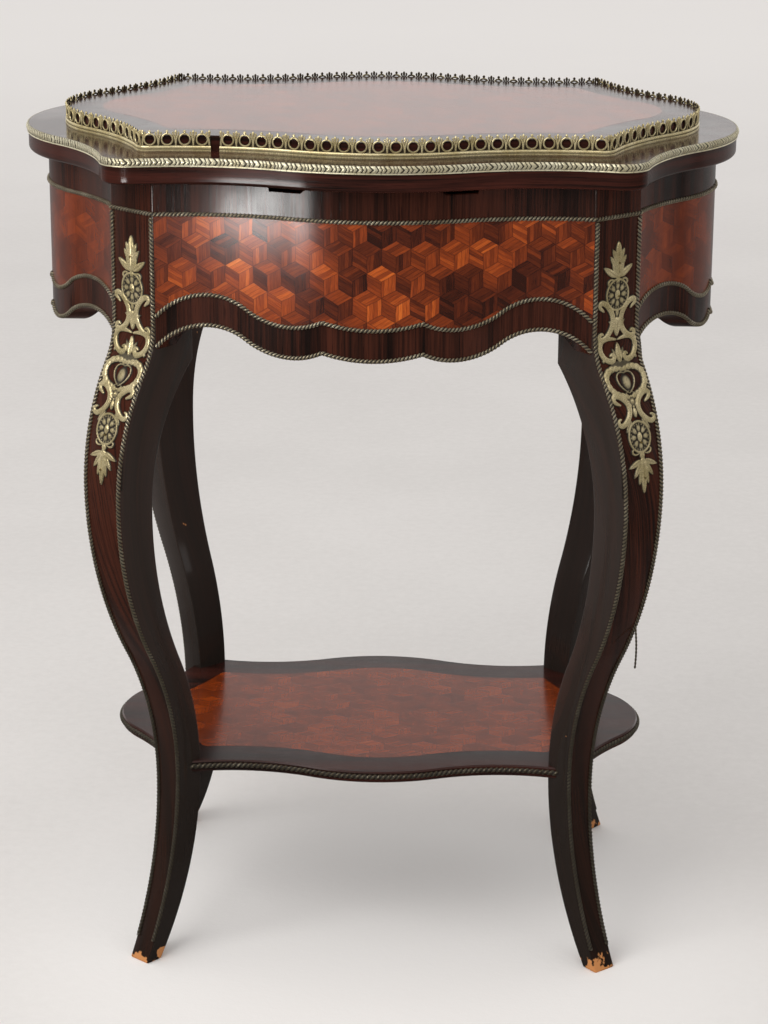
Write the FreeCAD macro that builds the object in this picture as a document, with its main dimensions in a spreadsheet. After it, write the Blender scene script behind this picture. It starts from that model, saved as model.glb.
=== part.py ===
import FreeCAD, Part
import math
import os
import Sketcher

from FreeCAD import Placement, Rotation, Vector

# Dressing table: a hinged top over a shallow well, four cabriole legs and a low shelf.
# X runs along the length, Y to the back, Z up. The origin is on the floor under the middle.

os.makedirs("parts", exist_ok=True)
doc = FreeCAD.newDocument("DressingTable")
sheet = doc.addObject("Spreadsheet::Sheet", "Sizes")

SIZES = [
    ("top_half_length", 306.0, "middle of the top to the outside of its rim bead, along X"),
    ("top_half_depth", 211.0, "the same, along Y"),
    ("top_end_radius", 129.0, "bowed end of the top"),
    ("top_front_radius", 219.0, "bowed front and back of the top"),
    ("top_hollow_radius", 203.0, "hollow beside the front and back bow"),
    ("top_cove_radius", 170.0, "cove beside the end bow"),
    ("top_corner_radius", 24.0, "rounded corner"),
    ("top_corner_least", 10.0, "corner radius that no inset goes under"),
    ("corner_from_end", 107.0, "centre of the rounded corner, in from the end"),
    ("corner_from_front", 44.0, "centre of the rounded corner, in from the front"),
    ("lid_underside", 698.0, "height of the lid's underside"),
    ("lid_thickness", 22.0, "lid board"),
    ("lid_edge_round", 3.0, "rounding of the lid's lower edge"),
    ("lid_seat_gap", 0.3, "lid above the case, between the two leaves of a hinge"),
    ("rim_bead_proud", 2.0, "rim bead beyond the lid board"),
    ("rim_bead_height", 7.0, "rim bead, down from the top"),
    ("raised_board_height", 12.5, "raised board inside the gallery, above the lid board"),
    ("raised_border", 30.0, "dark border of the raised board, from its edge"),
    ("veneer_thickness", 1.3, "inlaid cube parquetry"),
    ("gallery_inset", 35.0, "outer face of the gallery, in from the rim bead"),
    ("gallery_height", 17.2, "gallery above the lid"),
    ("gallery_strip", 1.2, "thickness of the pierced strip"),
    ("gallery_foot_proud", 1.2, "moulded foot beyond the strip, outside"),
    ("gallery_foot_height", 4.2, "moulded foot"),
    ("gallery_pitch", 14.0, "from one piercing to the next"),
    ("gallery_hole_radius", 3.7, "piercing"),
    ("gallery_hole_height", 10.7, "centre of the piercings above the lid"),
    ("gallery_pin_radius", 0.5, "pin under the foot"),
    ("gallery_pin_pitch", 84.0, "from one pin to the next"),
    ("gallery_pin_length", 9.0, "pin under the foot"),
    ("case_inset", 18.5, "outer face of the aprons, in from the rim bead"),
    ("wall", 16.0, "apron wall"),
    ("waist_height", 671.0, "middle of the waist bead"),
    ("bead_width", 4.0, "case and leg beading, across"),
    ("bead_proud", 2.3, "case and leg beading, beyond the wood"),
    ("apron_drop", 27.5, "lower edge under the middle of the waved bead"),
    ("front_middle_low", 582.0, "front wave: lowest point of the middle lobe"),
    ("front_cusp_share", 0.229, "front wave: cusp between the lobes, share of the way to the leg"),
    ("front_lobe_share", 0.379, "front wave: middle of the side lobe, share of the way to the leg"),
    ("front_lobe_low", 581.2, "front wave: lowest point of the side lobe"),
    ("front_curve_share", 0.527, "front wave: side lobe's radius, share of lobe and arch together"),
    ("front_arch_share", 0.764, "front wave: top of the arch, share of the way to the leg"),
    ("front_arch_high", 604.5, "front wave: top of the arch"),
    ("end_middle_low", 583.0, "end wave: lowest point of the middle lobe"),
    ("end_cusp_share", 0.189, "end wave: cusp between the lobes, share of the way to the leg"),
    ("end_lobe_share", 0.342, "end wave: middle of the side lobe, share of the way to the leg"),
    ("end_lobe_low", 582.5, "end wave: lowest point of the side lobe"),
    ("end_curve_share", 0.479, "end wave: side lobe's radius, share of lobe and arch together"),
    ("end_arch_share", 0.691, "end wave: top of the arch, share of the way to the leg"),
    ("end_arch_high", 602.0, "end wave: top of the arch"),
    ("wave_stile_height", 585.0, "waves where they meet the legs"),
    ("notch_offset", 68.5, "finger notch, from the middle"),
    ("notch_length", 33.0, "finger notch"),
    ("notch_height", 4.8, "finger notch, below the top of the rail"),
    ("notch_ramp", 7.0, "sloping inner end of a finger notch"),
    ("stile_angle", 40.0, "outward direction of a leg, from the Y axis"),
    ("stile_inset", 10.7, "leg face, in from the centre of the top's corner"),
    ("stile_shift", 8.3, "leg face, along its own width towards the end"),
    ("leg_width", 50.0, "leg at the case"),
    ("leg_thickness", 43.0, "leg at the case"),
    ("leg_waist_width", 32.4, "leg halfway down"),
    ("leg_foot_width", 22.0, "leg at the floor"),
    ("taper_height", 543.0, "where the leg starts to narrow"),
    ("taper_middle", 250.0, "height of the leg's halfway width"),
    ("knee_out", 40.0, "knee beyond the leg's face"),
    ("knee_height", 435.0, "height of the knee"),
    ("shoulder_rise", 143.2, "from the knee up to where the leg starts to swell"),
    ("shoulder_share", 0.2534, "hollow above the knee, its share of that rise"),
    ("ankle_in", 29.0, "ankle behind the leg's face"),
    ("ankle_height", 165.0, "height of the ankle"),
    ("knee_lower_share", 0.551, "swell below the knee, its share of the way down to the ankle"),
    ("foot_radius", 360.0, "outer curve of the foot"),
    ("knee_thickness", 37.5, "leg at the knee"),
    ("inner_knee_drop", 10.0, "inner knee below the outer one"),
    ("inner_kink_rise", 108.0, "from the knee up to where the leg's inner face starts to curve"),
    ("inner_knee_share", 0.569, "inner curve below the knee, its share of the way down to the ankle"),
    ("ankle_thickness", 26.0, "leg at the ankle"),
    ("inner_foot_radius", 300.0, "inner curve of the foot"),
    ("leg_bead_end", 18.0, "lower end of the leg beading above the floor"),
    ("tongue_inset", 5.5, "apron tongue behind the apron's outer face"),
    ("tongue_thickness", 5.0, "apron tongue"),
    ("tongue_length", 6.0, "apron tongue in the leg"),
    ("tongue_low", 612.0, "lower end of the tongues"),
    ("tongue_high", 664.0, "upper end of the tongues"),
    ("mount_top", 651.0, "upper tip of a leg mount"),
    ("mount_bottom", 438.0, "lower tip of a leg mount"),
    ("mount_thickness", 3.0, "leg mount beyond the wood"),
    ("mount_pin_radius", 0.8, "pin of a leg mount"),
    ("mount_pin_depth", 9.0, "pin in the leg"),
    ("mount_pin_head", 0.5, "pin above the mount"),
    ("bottom_top", 592.0, "upper face of the well's bottom board"),
    ("bottom_thickness", 8.0, "well's bottom board"),
    ("batten_height", 7.0, "batten under the bottom board"),
    ("batten_width", 12.0, "batten under the bottom board"),
    ("partition_offset", 95.0, "partition, from the middle"),
    ("partition_thickness", 6.0, "partition"),
    ("partition_top", 684.0, "upper edge of the partitions"),
    ("mirror_length", 330.0, "mirror frame"),
    ("mirror_depth", 230.0, "mirror frame"),
    ("mirror_frame_width", 16.0, "mirror frame, across its moulding"),
    ("mirror_frame_thickness", 9.0, "mirror frame"),
    ("mirror_rebate", 5.0, "glass under the frame's lip"),
    ("glass_thickness", 4.0, "mirror glass"),
    ("mirror_screw_length", 17.0, "screw through the mirror frame"),
    ("hinge_offset", 45.0, "hinge, from the middle"),
    ("hinge_length", 36.0, "hinge"),
    ("hinge_behind", 2.5, "hinge axis behind the back of the case"),
    ("leaf_width", 19.0, "hinge leaf, from the axis"),
    ("leaf_thickness", 1.5, "hinge leaf"),
    ("barrel_radius", 2.75, "hinge knuckle"),
    ("hinge_pin_radius", 1.4, "hinge pin"),
    ("hinge_pin_gap", 0.05, "lid's knuckle round the pin"),
    ("knuckle_gap", 0.3, "between two knuckles"),
    ("screw_radius", 1.2, "shank of a screw"),
    ("screw_head_radius", 2.4, "countersunk head"),
    ("screw_head_height", 1.2, "countersunk head"),
    ("screw_length", 11.0, "hinge screw"),
    ("screw_from_edge", 4.5, "hinge screw, from the free edge of its leaf"),
    ("screw_spacing", 20.0, "from one hinge screw to the next"),
    ("shelf_top", 177.0, "upper face of the shelf"),
    ("shelf_thickness", 10.0, "shelf board"),
    ("shelf_end_inset", 68.0, "end of the shelf, in from the end of the top"),
    ("shelf_front_inset", 63.0, "front of the shelf, in from the front of the top"),
    ("shelf_end_radius", 82.0, "bowed end of the shelf"),
    ("shelf_front_radius", 155.0, "bowed front of the shelf"),
    ("shelf_hollow_radius", 172.0, "hollow beside the shelf's front bow"),
    ("shelf_cove_radius", 200.0, "cove beside the shelf's end bow"),
    ("shelf_corner_radius", 23.0, "corner of the shelf"),
    ("shelf_corner_least", 6.0, "corner radius that no inset goes under"),
    ("shelf_corner_inset", 4.0, "centre of the shelf's corner, in from the leg's inner face"),
    ("shelf_border", 34.0, "dark border of the shelf, from the board's edge"),
    ("shelf_bead_height", 8.0, "shelf bead"),
    ("dowel_radius", 3.0, "dowel between leg and shelf"),
    ("dowel_length", 26.0, "dowel between leg and shelf"),
    ("overrun", 60.0, "how far a cutting shape runs past what it cuts"),
]

for row, (alias, value, meaning) in enumerate(SIZES, start=1):
    sheet.set("A%d" % row, meaning)
    sheet.set("B%d" % row, str(value))
    sheet.setAlias("B%d" % row, alias)
doc.recompute()

UP = Vector(0, 0, 1)
CORNERS = {
    "front_left": (-1, -1),
    "front_right": (1, -1),
    "rear_left": (-1, 1),
    "rear_right": (1, 1),
}
SIDES = {
    "front": (0, -1),
    "rear": (0, 1),
    "left": (-1, 0),
    "right": (1, 0),
}
nodes = {}


def size(alias):
    """Value of a named size."""
    return float(sheet.get(alias))


def node(name, feature):
    """Keep a document object as a sub-part of the table, under its own label."""
    feature.Label = name
    nodes[name] = feature
    return feature


def bind(feature, **expressions):
    """Bind properties to the sheet. A double underscore in a name stands for a point."""
    for name, expression in expressions.items():
        feature.setExpression(name.replace("__", "."), expression)
    return feature


def held(name, shape):
    """Document object that holds a shape worked out here from the sheet."""
    feature = doc.addObject("Part::Feature", name)
    feature.Shape = shape
    return feature


def prism(name, face, length, direction=UP, base=None, both_ways=False):
    """Straight extrusion of a face; length and base height are sheet expressions."""
    feature = doc.addObject("Part::Extrusion", name)
    feature.Base = held(name + "_section", face)
    feature.DirMode = "Custom"
    feature.Dir = direction
    feature.Solid = True
    feature.Symmetric = both_ways
    feature.setExpression("LengthFwd", length)
    if base:
        feature.setExpression("Placement.Base.z", base)
    return feature


def box(name, length, width, height, placement=Placement()):
    """Box whose three sides are sheet expressions."""
    feature = doc.addObject("Part::Box", name)
    bind(feature, Length=length, Width=width, Height=height)
    feature.Placement = placement
    return feature


def cylinder(name, radius, height, placement=Placement()):
    """Cylinder whose radius and height are sheet expressions."""
    feature = doc.addObject("Part::Cylinder", name)
    bind(feature, Radius=radius, Height=height)
    feature.Placement = placement
    return feature


def group(name, features):
    """Several solids side by side as one object."""
    feature = doc.addObject("Part::Compound", name)
    feature.Links = features
    return feature


def fused(name, features):
    feature = doc.addObject("Part::MultiFuse", name)
    feature.Shapes = features
    feature.Refine = True
    return feature


def common(name, base, tool):
    feature = doc.addObject("Part::Common", name)
    feature.Base = base
    feature.Tool = tool
    return feature


def cut(name, base, tool):
    feature = doc.addObject("Part::Cut", name)
    feature.Base = base
    feature.Tool = tool
    return feature


def arc(centre, start, end):
    """Arc under half a turn about a centre, from start to end."""
    radius = (start - centre).Length
    middle = (start - centre) + (end - centre)
    return Part.Arc(start, centre + middle.normalize() * radius, end).toShape()


def line(start, end):
    return Part.makeLine(start, end)


def face_of(edges):
    """Flat face inside the edges, in whatever order they come."""
    return Part.Face(Part.Wire(Part.__sortEdges__(edges)))


def crossing(centre_a, distance_a, centre_b, distance_b, side):
    """Point at one distance from each of two centres, left (1) or right (-1) of the line a to b."""
    span = centre_b - centre_a
    reach = span.Length
    along = (distance_a ** 2 - distance_b ** 2 + reach ** 2) / (2 * reach)
    across = math.sqrt(distance_a ** 2 - along ** 2)
    ahead = span * (1 / reach)
    return centre_a + ahead * along + UP.cross(ahead) * (across * side)


def towards(centre, target, distance):
    """Point at a distance from a centre, on the line to a target."""
    return centre + (target - centre).normalize() * distance


# Outline of the top, case and shelf


class Outline:
    """Plan of tangent arcs: bowed ends and fronts, with a cove, a round corner and a hollow between."""

    def __init__(self, prefix, half_length, half_depth, corner):
        self.half_length = half_length
        self.half_depth = half_depth
        self.end_radius = size(prefix + "_end_radius")
        self.front_radius = size(prefix + "_front_radius")
        self.cove_radius = size(prefix + "_cove_radius")
        self.hollow_radius = size(prefix + "_hollow_radius")
        self.corner_radius = size(prefix + "_corner_radius")
        self.corner_least = size(prefix + "_corner_least")
        self.end = Vector(half_length - self.end_radius, 0, 0)
        self.front = Vector(0, half_depth - self.front_radius, 0)
        self.cove = crossing(
            self.end, self.end_radius + self.cove_radius,
            corner, self.corner_radius + self.cove_radius, -1)
        self.hollow = crossing(
            self.front, self.front_radius + self.hollow_radius,
            corner, self.corner_radius + self.hollow_radius, 1)

    def edges(self, inset):
        """Arcs of the outline, moved inwards by the inset."""
        radius = max(self.corner_radius - inset, self.corner_least)
        corner = crossing(
            self.hollow, self.hollow_radius + inset + radius,
            self.cove, self.cove_radius + inset + radius, -1)
        joint_end = towards(self.end, self.cove, self.end_radius - inset)
        joint_cove = towards(self.cove, corner, self.cove_radius + inset)
        joint_hollow = towards(self.hollow, corner, self.hollow_radius + inset)
        joint_front = towards(self.front, self.hollow, self.front_radius - inset)
        arcs = []
        for way_x, way_y in CORNERS.values():
            def turned(point):
                return Vector(point.x * way_x, point.y * way_y, 0)
            arcs.append(arc(turned(self.cove), turned(joint_end), turned(joint_cove)))
            arcs.append(arc(turned(corner), turned(joint_cove), turned(joint_hollow)))
            arcs.append(arc(turned(self.hollow), turned(joint_hollow), turned(joint_front)))
        for way in (1, -1):
            tip = Vector(way * (self.half_length - inset), 0, 0)
            above = Vector(way * joint_end.x, joint_end.y, 0)
            below = Vector(way * joint_end.x, -joint_end.y, 0)
            arcs.append(Part.Arc(below, tip, above).toShape())
            crown = Vector(0, way * (self.half_depth - inset), 0)
            right = Vector(joint_front.x, way * joint_front.y, 0)
            left = Vector(-joint_front.x, way * joint_front.y, 0)
            arcs.append(Part.Arc(left, crown, right).toShape())
        return arcs

    def wire(self, inset):
        return Part.Wire(Part.__sortEdges__(self.edges(inset)))

    def plate(self, inset):
        """Face filled to the inset outline."""
        return Part.Face(self.wire(inset))

    def ring(self, outer_inset, inner_inset):
        """Face between two inset outlines."""
        return Part.makeFace([self.wire(outer_inset), self.wire(inner_inset)], "Part::FaceMakerBullseye")


top_corner = Vector(
    size("top_half_length") - size("corner_from_end"),
    size("top_half_depth") - size("corner_from_front"), 0)
top_outline = Outline("top", size("top_half_length"), size("top_half_depth"), top_corner)

# A leg's own frame: X outward from the middle of its face, Y along its width, Z up

stile_turn = math.radians(size("stile_angle"))
leg_outward = Vector(math.sin(stile_turn), math.cos(stile_turn), 0)
leg_along = Vector(math.cos(stile_turn), -math.sin(stile_turn), 0)
leg_face = top_corner - leg_outward * size("stile_inset") + leg_along * size("stile_shift")
case_top = size("lid_underside") - size("lid_seat_gap")


def leg_place(corner, offset=Vector(0, 0, 0), turn=Rotation()):
    """Placement of something given in a leg's own frame."""
    way_x, way_y = CORNERS[corner]
    angle = math.degrees(math.atan2(leg_outward.y * way_y, leg_outward.x * way_x))
    frame = Placement(Vector(leg_face.x * way_x, leg_face.y * way_y, 0), Rotation(UP, angle))
    return frame.multiply(Placement(offset, turn))


class Stretch:
    """Part of a leg's profile: an upright line, or an arc that bulges outward (1) or inward (-1)."""

    def __init__(self, high, low, offset, radius=None, level=None, bulge=None):
        self.high = high
        self.low = low
        self.offset = offset
        self.radius = radius
        self.level = level
        self.bulge = bulge

    def at(self, height):
        """Distance outward from the leg's face at a height."""
        if self.radius is None:
            return self.offset
        rise = height - self.level
        return self.offset + self.bulge * math.sqrt(self.radius ** 2 - rise ** 2)

    def edge(self, high, low, shift):
        points = [Vector(self.at(z) + shift, 0, z) for z in (high, (high + low) / 2, low)]
        if self.radius is None:
            return line(points[0], points[2])
        return Part.Arc(*points).toShape()


def double_curve(high, high_offset, low, low_offset, high_share):
    """Two tangent arcs that start and end upright; the upper one takes its share of the drop."""
    across = abs(low_offset - high_offset)
    both = (across ** 2 + (high - low) ** 2) / (2 * across)
    high_radius = both * high_share
    low_radius = both - high_radius
    join = high - (high - low) * high_share
    way = 1 if low_offset > high_offset else -1
    return [
        Stretch(high, join, high_offset + way * high_radius, high_radius, high, -way),
        Stretch(join, low, low_offset - way * low_radius, low_radius, low, way),
    ]


def profile_edges(profile, high, low, shift=0):
    """Edges of a profile between two heights, moved outward by the shift."""
    edges = []
    for stretch in profile:
        upper = min(stretch.high, high)
        lower = max(stretch.low, low)
        if upper > lower:
            edges.append(stretch.edge(upper, lower, shift))
    return edges


def profile_at(profile, height):
    """Distance outward from the leg's face at a height."""
    for stretch in profile:
        if stretch.low <= height <= stretch.high:
            return stretch.at(height)
    raise ValueError("height outside the leg")


shoulder_height = size("knee_height") + size("shoulder_rise")
outer_profile = [Stretch(case_top, shoulder_height, 0)]
outer_profile += double_curve(
    shoulder_height, 0, size("knee_height"), size("knee_out"), size("shoulder_share"))
outer_profile += double_curve(
    size("knee_height"), size("knee_out"),
    size("ankle_height"), -size("ankle_in"), size("knee_lower_share"))
outer_profile.append(Stretch(
    size("ankle_height"), 0, size("foot_radius") - size("ankle_in"),
    size("foot_radius"), size("ankle_height"), -1))

inner_knee = size("knee_out") - size("knee_thickness")
inner_knee_height = size("knee_height") - size("inner_knee_drop")
inner_kink_height = size("knee_height") + size("inner_kink_rise")
inner_rise = inner_kink_height - inner_knee_height
inner_run = inner_knee + size("leg_thickness")
kink_radius = (inner_run ** 2 + inner_rise ** 2) / (2 * inner_run)
inner_ankle = -size("ankle_in") - size("ankle_thickness")
inner_profile = [
    Stretch(case_top, inner_kink_height, -size("leg_thickness")),
    Stretch(inner_kink_height, inner_knee_height, inner_knee - kink_radius,
            kink_radius, inner_knee_height, 1),
]
inner_profile += double_curve(
    inner_knee_height, inner_knee,
    size("ankle_height"), inner_ankle, size("inner_knee_share"))
inner_profile.append(Stretch(
    size("ankle_height"), 0, size("inner_foot_radius") + inner_ankle,
    size("inner_foot_radius"), size("ankle_height"), -1))


def flank(way, shift):
    """One edge of a leg seen from the front, moved inward by the shift."""
    def point(width, height):
        return Vector(0, way * (width / 2 - shift), height)
    foot = point(size("leg_foot_width"), 0)
    middle = point(size("leg_waist_width"), size("taper_middle"))
    shoulder = point(size("leg_width"), size("taper_height"))
    top = point(size("leg_width"), case_top)
    return [Part.Arc(foot, middle, shoulder).toShape(), line(shoulder, top)]


def tips(edges_a, edges_b):
    """Lines that join the lower and the upper ends of two runs of edges."""
    ends = []
    for edges in (edges_a, edges_b):
        points = [vertex.Point for edge in edges for vertex in edge.Vertexes]
        ends.append((min(points, key=lambda point: point.z), max(points, key=lambda point: point.z)))
    return [line(ends[0][0], ends[1][0]), line(ends[0][1], ends[1][1])]


def between(edges_a, edges_b):
    """Face between two runs of edges."""
    return face_of(edges_a + edges_b + tips(edges_a, edges_b))


SIDEWAYS = Vector(0, 1, 0)
OUTWARD = Vector(1, 0, 0)

leg_side = prism(
    "leg_side",
    between(profile_edges(outer_profile, case_top, 0), profile_edges(inner_profile, case_top, 0)),
    "Sizes.leg_width * 2", SIDEWAYS, both_ways=True)
leg_front = prism(
    "leg_front", between(flank(-1, 0), flank(1, 0)),
    "(Sizes.knee_out + Sizes.leg_thickness + Sizes.overrun) * 2", OUTWARD, both_ways=True)

# Aprons: a band that follows the case's outline, waved below, with tongues in the legs

case_inner = size("case_inset") + size("wall")
wall_band = prism(
    "wall_band", top_outline.ring(size("case_inset"), case_inner),
    "Sizes.lid_underside - Sizes.lid_seat_gap - Sizes.wave_stile_height + Sizes.overrun")
bind(wall_band, Placement__Base__z="Sizes.wave_stile_height - Sizes.overrun")
tongue_band = prism(
    "tongue_band",
    top_outline.ring(
        size("case_inset") + size("tongue_inset"),
        size("case_inset") + size("tongue_inset") + size("tongue_thickness")),
    "Sizes.tongue_high - Sizes.tongue_low", base="Sizes.tongue_low")


def wave(side, drop):
    """Points and arcs of a waved edge: (distance along the wall, height) for one half, middle first."""
    prefix = "front" if side in ("front", "rear") else "end"
    stile = wave_reach(side) - size("tongue_length")
    cusp = stile * size(prefix + "_cusp_share")
    lobe = stile * size(prefix + "_lobe_share")
    arch = stile * size(prefix + "_arch_share")
    share = size(prefix + "_curve_share")
    lobe_low = size(prefix + "_lobe_low")
    arch_high = size(prefix + "_arch_high")
    middle_low = size(prefix + "_middle_low")
    run = arch - lobe
    rise = arch_high - lobe_low
    both = (run ** 2 + rise ** 2) / (2 * rise)
    lobe_radius = both * share
    arch_radius = both - lobe_radius
    lobe_level = lobe_low + lobe_radius
    cusp_high = lobe_level - math.sqrt(lobe_radius ** 2 - (lobe - cusp) ** 2)
    join = (lobe + run * share, lobe_low + rise * share)
    middle_rise = cusp_high - middle_low
    middle_radius = (cusp ** 2 + middle_rise ** 2) / (2 * middle_rise)
    fall = arch_high - size("wave_stile_height")
    outer_run = stile - arch
    outer_radius = (outer_run ** 2 + fall ** 2) / (2 * fall)
    pieces = [
        ((0, middle_low), (0, middle_low + middle_radius), (cusp, cusp_high)),
        ((cusp, cusp_high), (lobe, lobe_level), join),
        (join, (arch, arch_high - arch_radius), (arch, arch_high)),
        ((arch, arch_high), (arch, arch_high - outer_radius), (stile, size("wave_stile_height"))),
    ]
    lowered = []
    for piece in pieces:
        lowered.append([(along, height - drop) for along, height in piece])
    return lowered


def wave_reach(side):
    """Half length of a wave, a little way into the legs."""
    half_width = size("leg_width") / 2
    if side in ("front", "rear"):
        return (leg_face - leg_along * half_width).x + size("tongue_length")
    return (leg_face + leg_along * half_width).y + size("tongue_length")


def wall_point(side, along, height):
    """Point in the upright plane, behind a wall, that the wall's waved outline is drawn in."""
    if side in ("front", "rear"):
        return Vector(along, 0, height)
    return Vector(SIDES[side][0] * (top_corner.x - size("wall")), along, height)


def wave_edges(side, drop):
    """Whole waved edge from leg to leg."""
    edges = []
    for way in (-1, 1):
        for start, centre, end in wave(side, drop):
            points = [wall_point(side, way * along, height) for along, height in (centre, start, end)]
            edges.append(arc(*points))
        tip_along, tip_height = wave(side, drop)[-1][2]
        edges.append(line(
            wall_point(side, way * tip_along, tip_height),
            wall_point(side, way * wave_reach(side), tip_height)))
    return edges


def above_wave(side, drop, top):
    """Face from a waved edge up to a level."""
    reach = wave_reach(side)
    level = size("wave_stile_height") - drop
    edges = wave_edges(side, drop)
    for way in (-1, 1):
        edges.append(line(wall_point(side, way * reach, level), wall_point(side, way * reach, top)))
    edges.append(line(wall_point(side, -reach, top), wall_point(side, reach, top)))
    return face_of(edges)


def wave_strip(side, drop, width):
    """Face of a strip that follows the waved edge, from the drop up by its width."""
    reach = wave_reach(side)
    level = size("wave_stile_height") - drop
    edges = wave_edges(side, drop) + wave_edges(side, drop - width)
    for way in (-1, 1):
        edges.append(line(
            wall_point(side, way * reach, level), wall_point(side, way * reach, level + width)))
    return face_of(edges)


def outward_prism(name, side, face):
    """Prism from the plane behind a wall outwards through it."""
    return prism(name, face, "Sizes.top_half_length", Vector(SIDES[side][0], SIDES[side][1], 0))


# Block of a leg at the case, run outwards so that it clears whatever ends at the leg

leg_blocks = []
tongue_slots = {side: [] for side in SIDES}
block_height = "Sizes.lid_underside - Sizes.wave_stile_height + Sizes.overrun"
block_low = size("wave_stile_height") - size("overrun")
for corner, (way_x, way_y) in CORNERS.items():
    block_start = Vector(-size("leg_thickness"), -size("leg_width") / 2, block_low)
    block = box(
        "leg_block_" + corner, "Sizes.leg_thickness + Sizes.overrun", "Sizes.leg_width",
        block_height, leg_place(corner, block_start))
    leg_blocks.append(block)
    end_way = -way_x * way_y
    for side, way in (("end", end_way), ("face", -end_way)):
        outer = way * size("leg_width") / 2
        start = min(outer, outer - way * size("tongue_length"))
        slot = box(
            "tongue_slot_%s_%s" % (side, corner), "Sizes.leg_thickness + Sizes.overrun",
            "Sizes.tongue_length", block_height,
            leg_place(corner, Vector(-size("leg_thickness"), start, block_low)))
        if side == "end":
            wall = "right" if way_x > 0 else "left"
        else:
            wall = "rear" if way_y > 0 else "front"
        tongue_slots[wall].append(slot)
all_blocks = group("leg_blocks", leg_blocks)

bead_band = prism(
    "bead_band",
    top_outline.ring(size("case_inset") - size("bead_proud"), size("case_inset")),
    "Sizes.lid_underside - Sizes.wave_stile_height + Sizes.overrun")
bind(bead_band, Placement__Base__z="Sizes.wave_stile_height - Sizes.overrun")
panel_band = prism(
    "panel_band",
    top_outline.ring(size("case_inset"), size("case_inset") + size("veneer_thickness")),
    "Sizes.lid_underside - Sizes.wave_stile_height + Sizes.overrun")
bind(panel_band, Placement__Base__z="Sizes.wave_stile_height - Sizes.overrun")

apron_walls = {}
tongues = []
for side in SIDES:
    wall_region = outward_prism("wall_region_" + side, side, above_wave(side, size("apron_drop"), case_top))
    wall_piece = cut("wall_" + side, common("wall_whole_" + side, wall_band, wall_region), all_blocks)
    tongue = common("tongues_" + side, tongue_band, group("tongue_slots_" + side, tongue_slots[side]))
    tongues.append(tongue)
    panel_region = outward_prism("panel_region_" + side, side, above_wave(side, 0, size("waist_height")))
    panel = cut("cube_panel_" + side, common("panel_whole_" + side, panel_band, panel_region), all_blocks)
    node("cube_panel_" + side, panel)
    apron_walls[side] = cut("wall_inlaid_" + side, fused("wall_joined_" + side, [wall_piece, tongue]), panel)

    half_bead = size("bead_width") / 2
    strips = []
    for part, drop in (("wave", half_bead), ("edge", size("apron_drop"))):
        strip_region = outward_prism(
            "bead_region_%s_%s" % (part, side), side, wave_strip(side, drop, size("bead_width")))
        whole = common("bead_whole_%s_%s" % (part, side), bead_band, strip_region)
        strips.append(cut("bead_%s_%s" % (part, side), whole, all_blocks))
    node("apron_beading_" + side, group("apron_beading_" + side, strips))

waist_band = prism(
    "waist_band",
    top_outline.ring(size("case_inset") - size("bead_proud"), size("case_inset")),
    "Sizes.bead_width", base="Sizes.waist_height - Sizes.bead_width / 2")
waist_strips = [cut("waist_walls", waist_band, all_blocks)]
for corner in CORNERS:
    start = Vector(0, -size("leg_width") / 2, size("waist_height") - size("bead_width") / 2)
    waist_strips.append(box(
        "waist_" + corner, "Sizes.bead_proud", "Sizes.leg_width", "Sizes.bead_width",
        leg_place(corner, start)))
node("waist_beading", fused("waist_beading", waist_strips))

# Lid with its panel, rim bead and gallery

lid_top = size("lid_underside") + size("lid_thickness")
lid_block = prism(
    "lid_block", top_outline.plate(size("rim_bead_proud")), "Sizes.lid_thickness",
    base="Sizes.lid_underside")
raised_inset = size("gallery_inset") + size("gallery_strip")
raised_block = prism(
    "raised_block", top_outline.plate(raised_inset), "Sizes.raised_board_height",
    base="Sizes.lid_underside + Sizes.lid_thickness")
lid_panel = node("lid_cube_panel", prism(
    "lid_cube_panel", top_outline.plate(raised_inset + size("raised_border")), "Sizes.veneer_thickness",
    base="Sizes.lid_underside + Sizes.lid_thickness + Sizes.raised_board_height - Sizes.veneer_thickness"))
node("lid_raised_board", cut("lid_raised_board", raised_block, lid_panel))
node("lid_rim_beading", prism(
    "lid_rim_beading", top_outline.ring(0, size("rim_bead_proud")), "Sizes.rim_bead_height",
    base="Sizes.lid_underside + Sizes.lid_thickness - Sizes.rim_bead_height"))

gallery_strip = prism(
    "gallery_strip",
    top_outline.ring(size("gallery_inset"), raised_inset),
    "Sizes.gallery_height", base="Sizes.lid_underside + Sizes.lid_thickness")
gallery_foot = prism(
    "gallery_foot",
    top_outline.ring(size("gallery_inset") - size("gallery_foot_proud"), raised_inset),
    "Sizes.gallery_foot_height", base="Sizes.lid_underside + Sizes.lid_thickness")
gallery_whole = fused("gallery_whole", [gallery_strip, gallery_foot])
gallery_line = top_outline.wire(size("gallery_inset") + size("gallery_strip") / 2)


def wedge_face(way_x, way_y):
    """Triangle from the middle out through the two corners of one side."""
    far = top_corner * 2
    if way_x:
        tips = [Vector(far.x * way_x, far.y * way, 0) for way in (-1, 1)]
    else:
        tips = [Vector(far.x * way, far.y * way_y, 0) for way in (-1, 1)]
    middle = Vector(0, 0, 0)
    return face_of([line(middle, tips[0]), line(tips[0], tips[1]), line(tips[1], middle)])


def places(path, pitch):
    """Middles of even steps of about one pitch along a path, each with its direction."""
    count = round(path.Length / pitch)
    points = path.discretize(Number=2 * count + 1)
    steps = []
    for number in range(count):
        before, here, ahead = points[2 * number:2 * number + 3]
        steps.append((here, (ahead - before).normalize()))
    return steps


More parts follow.
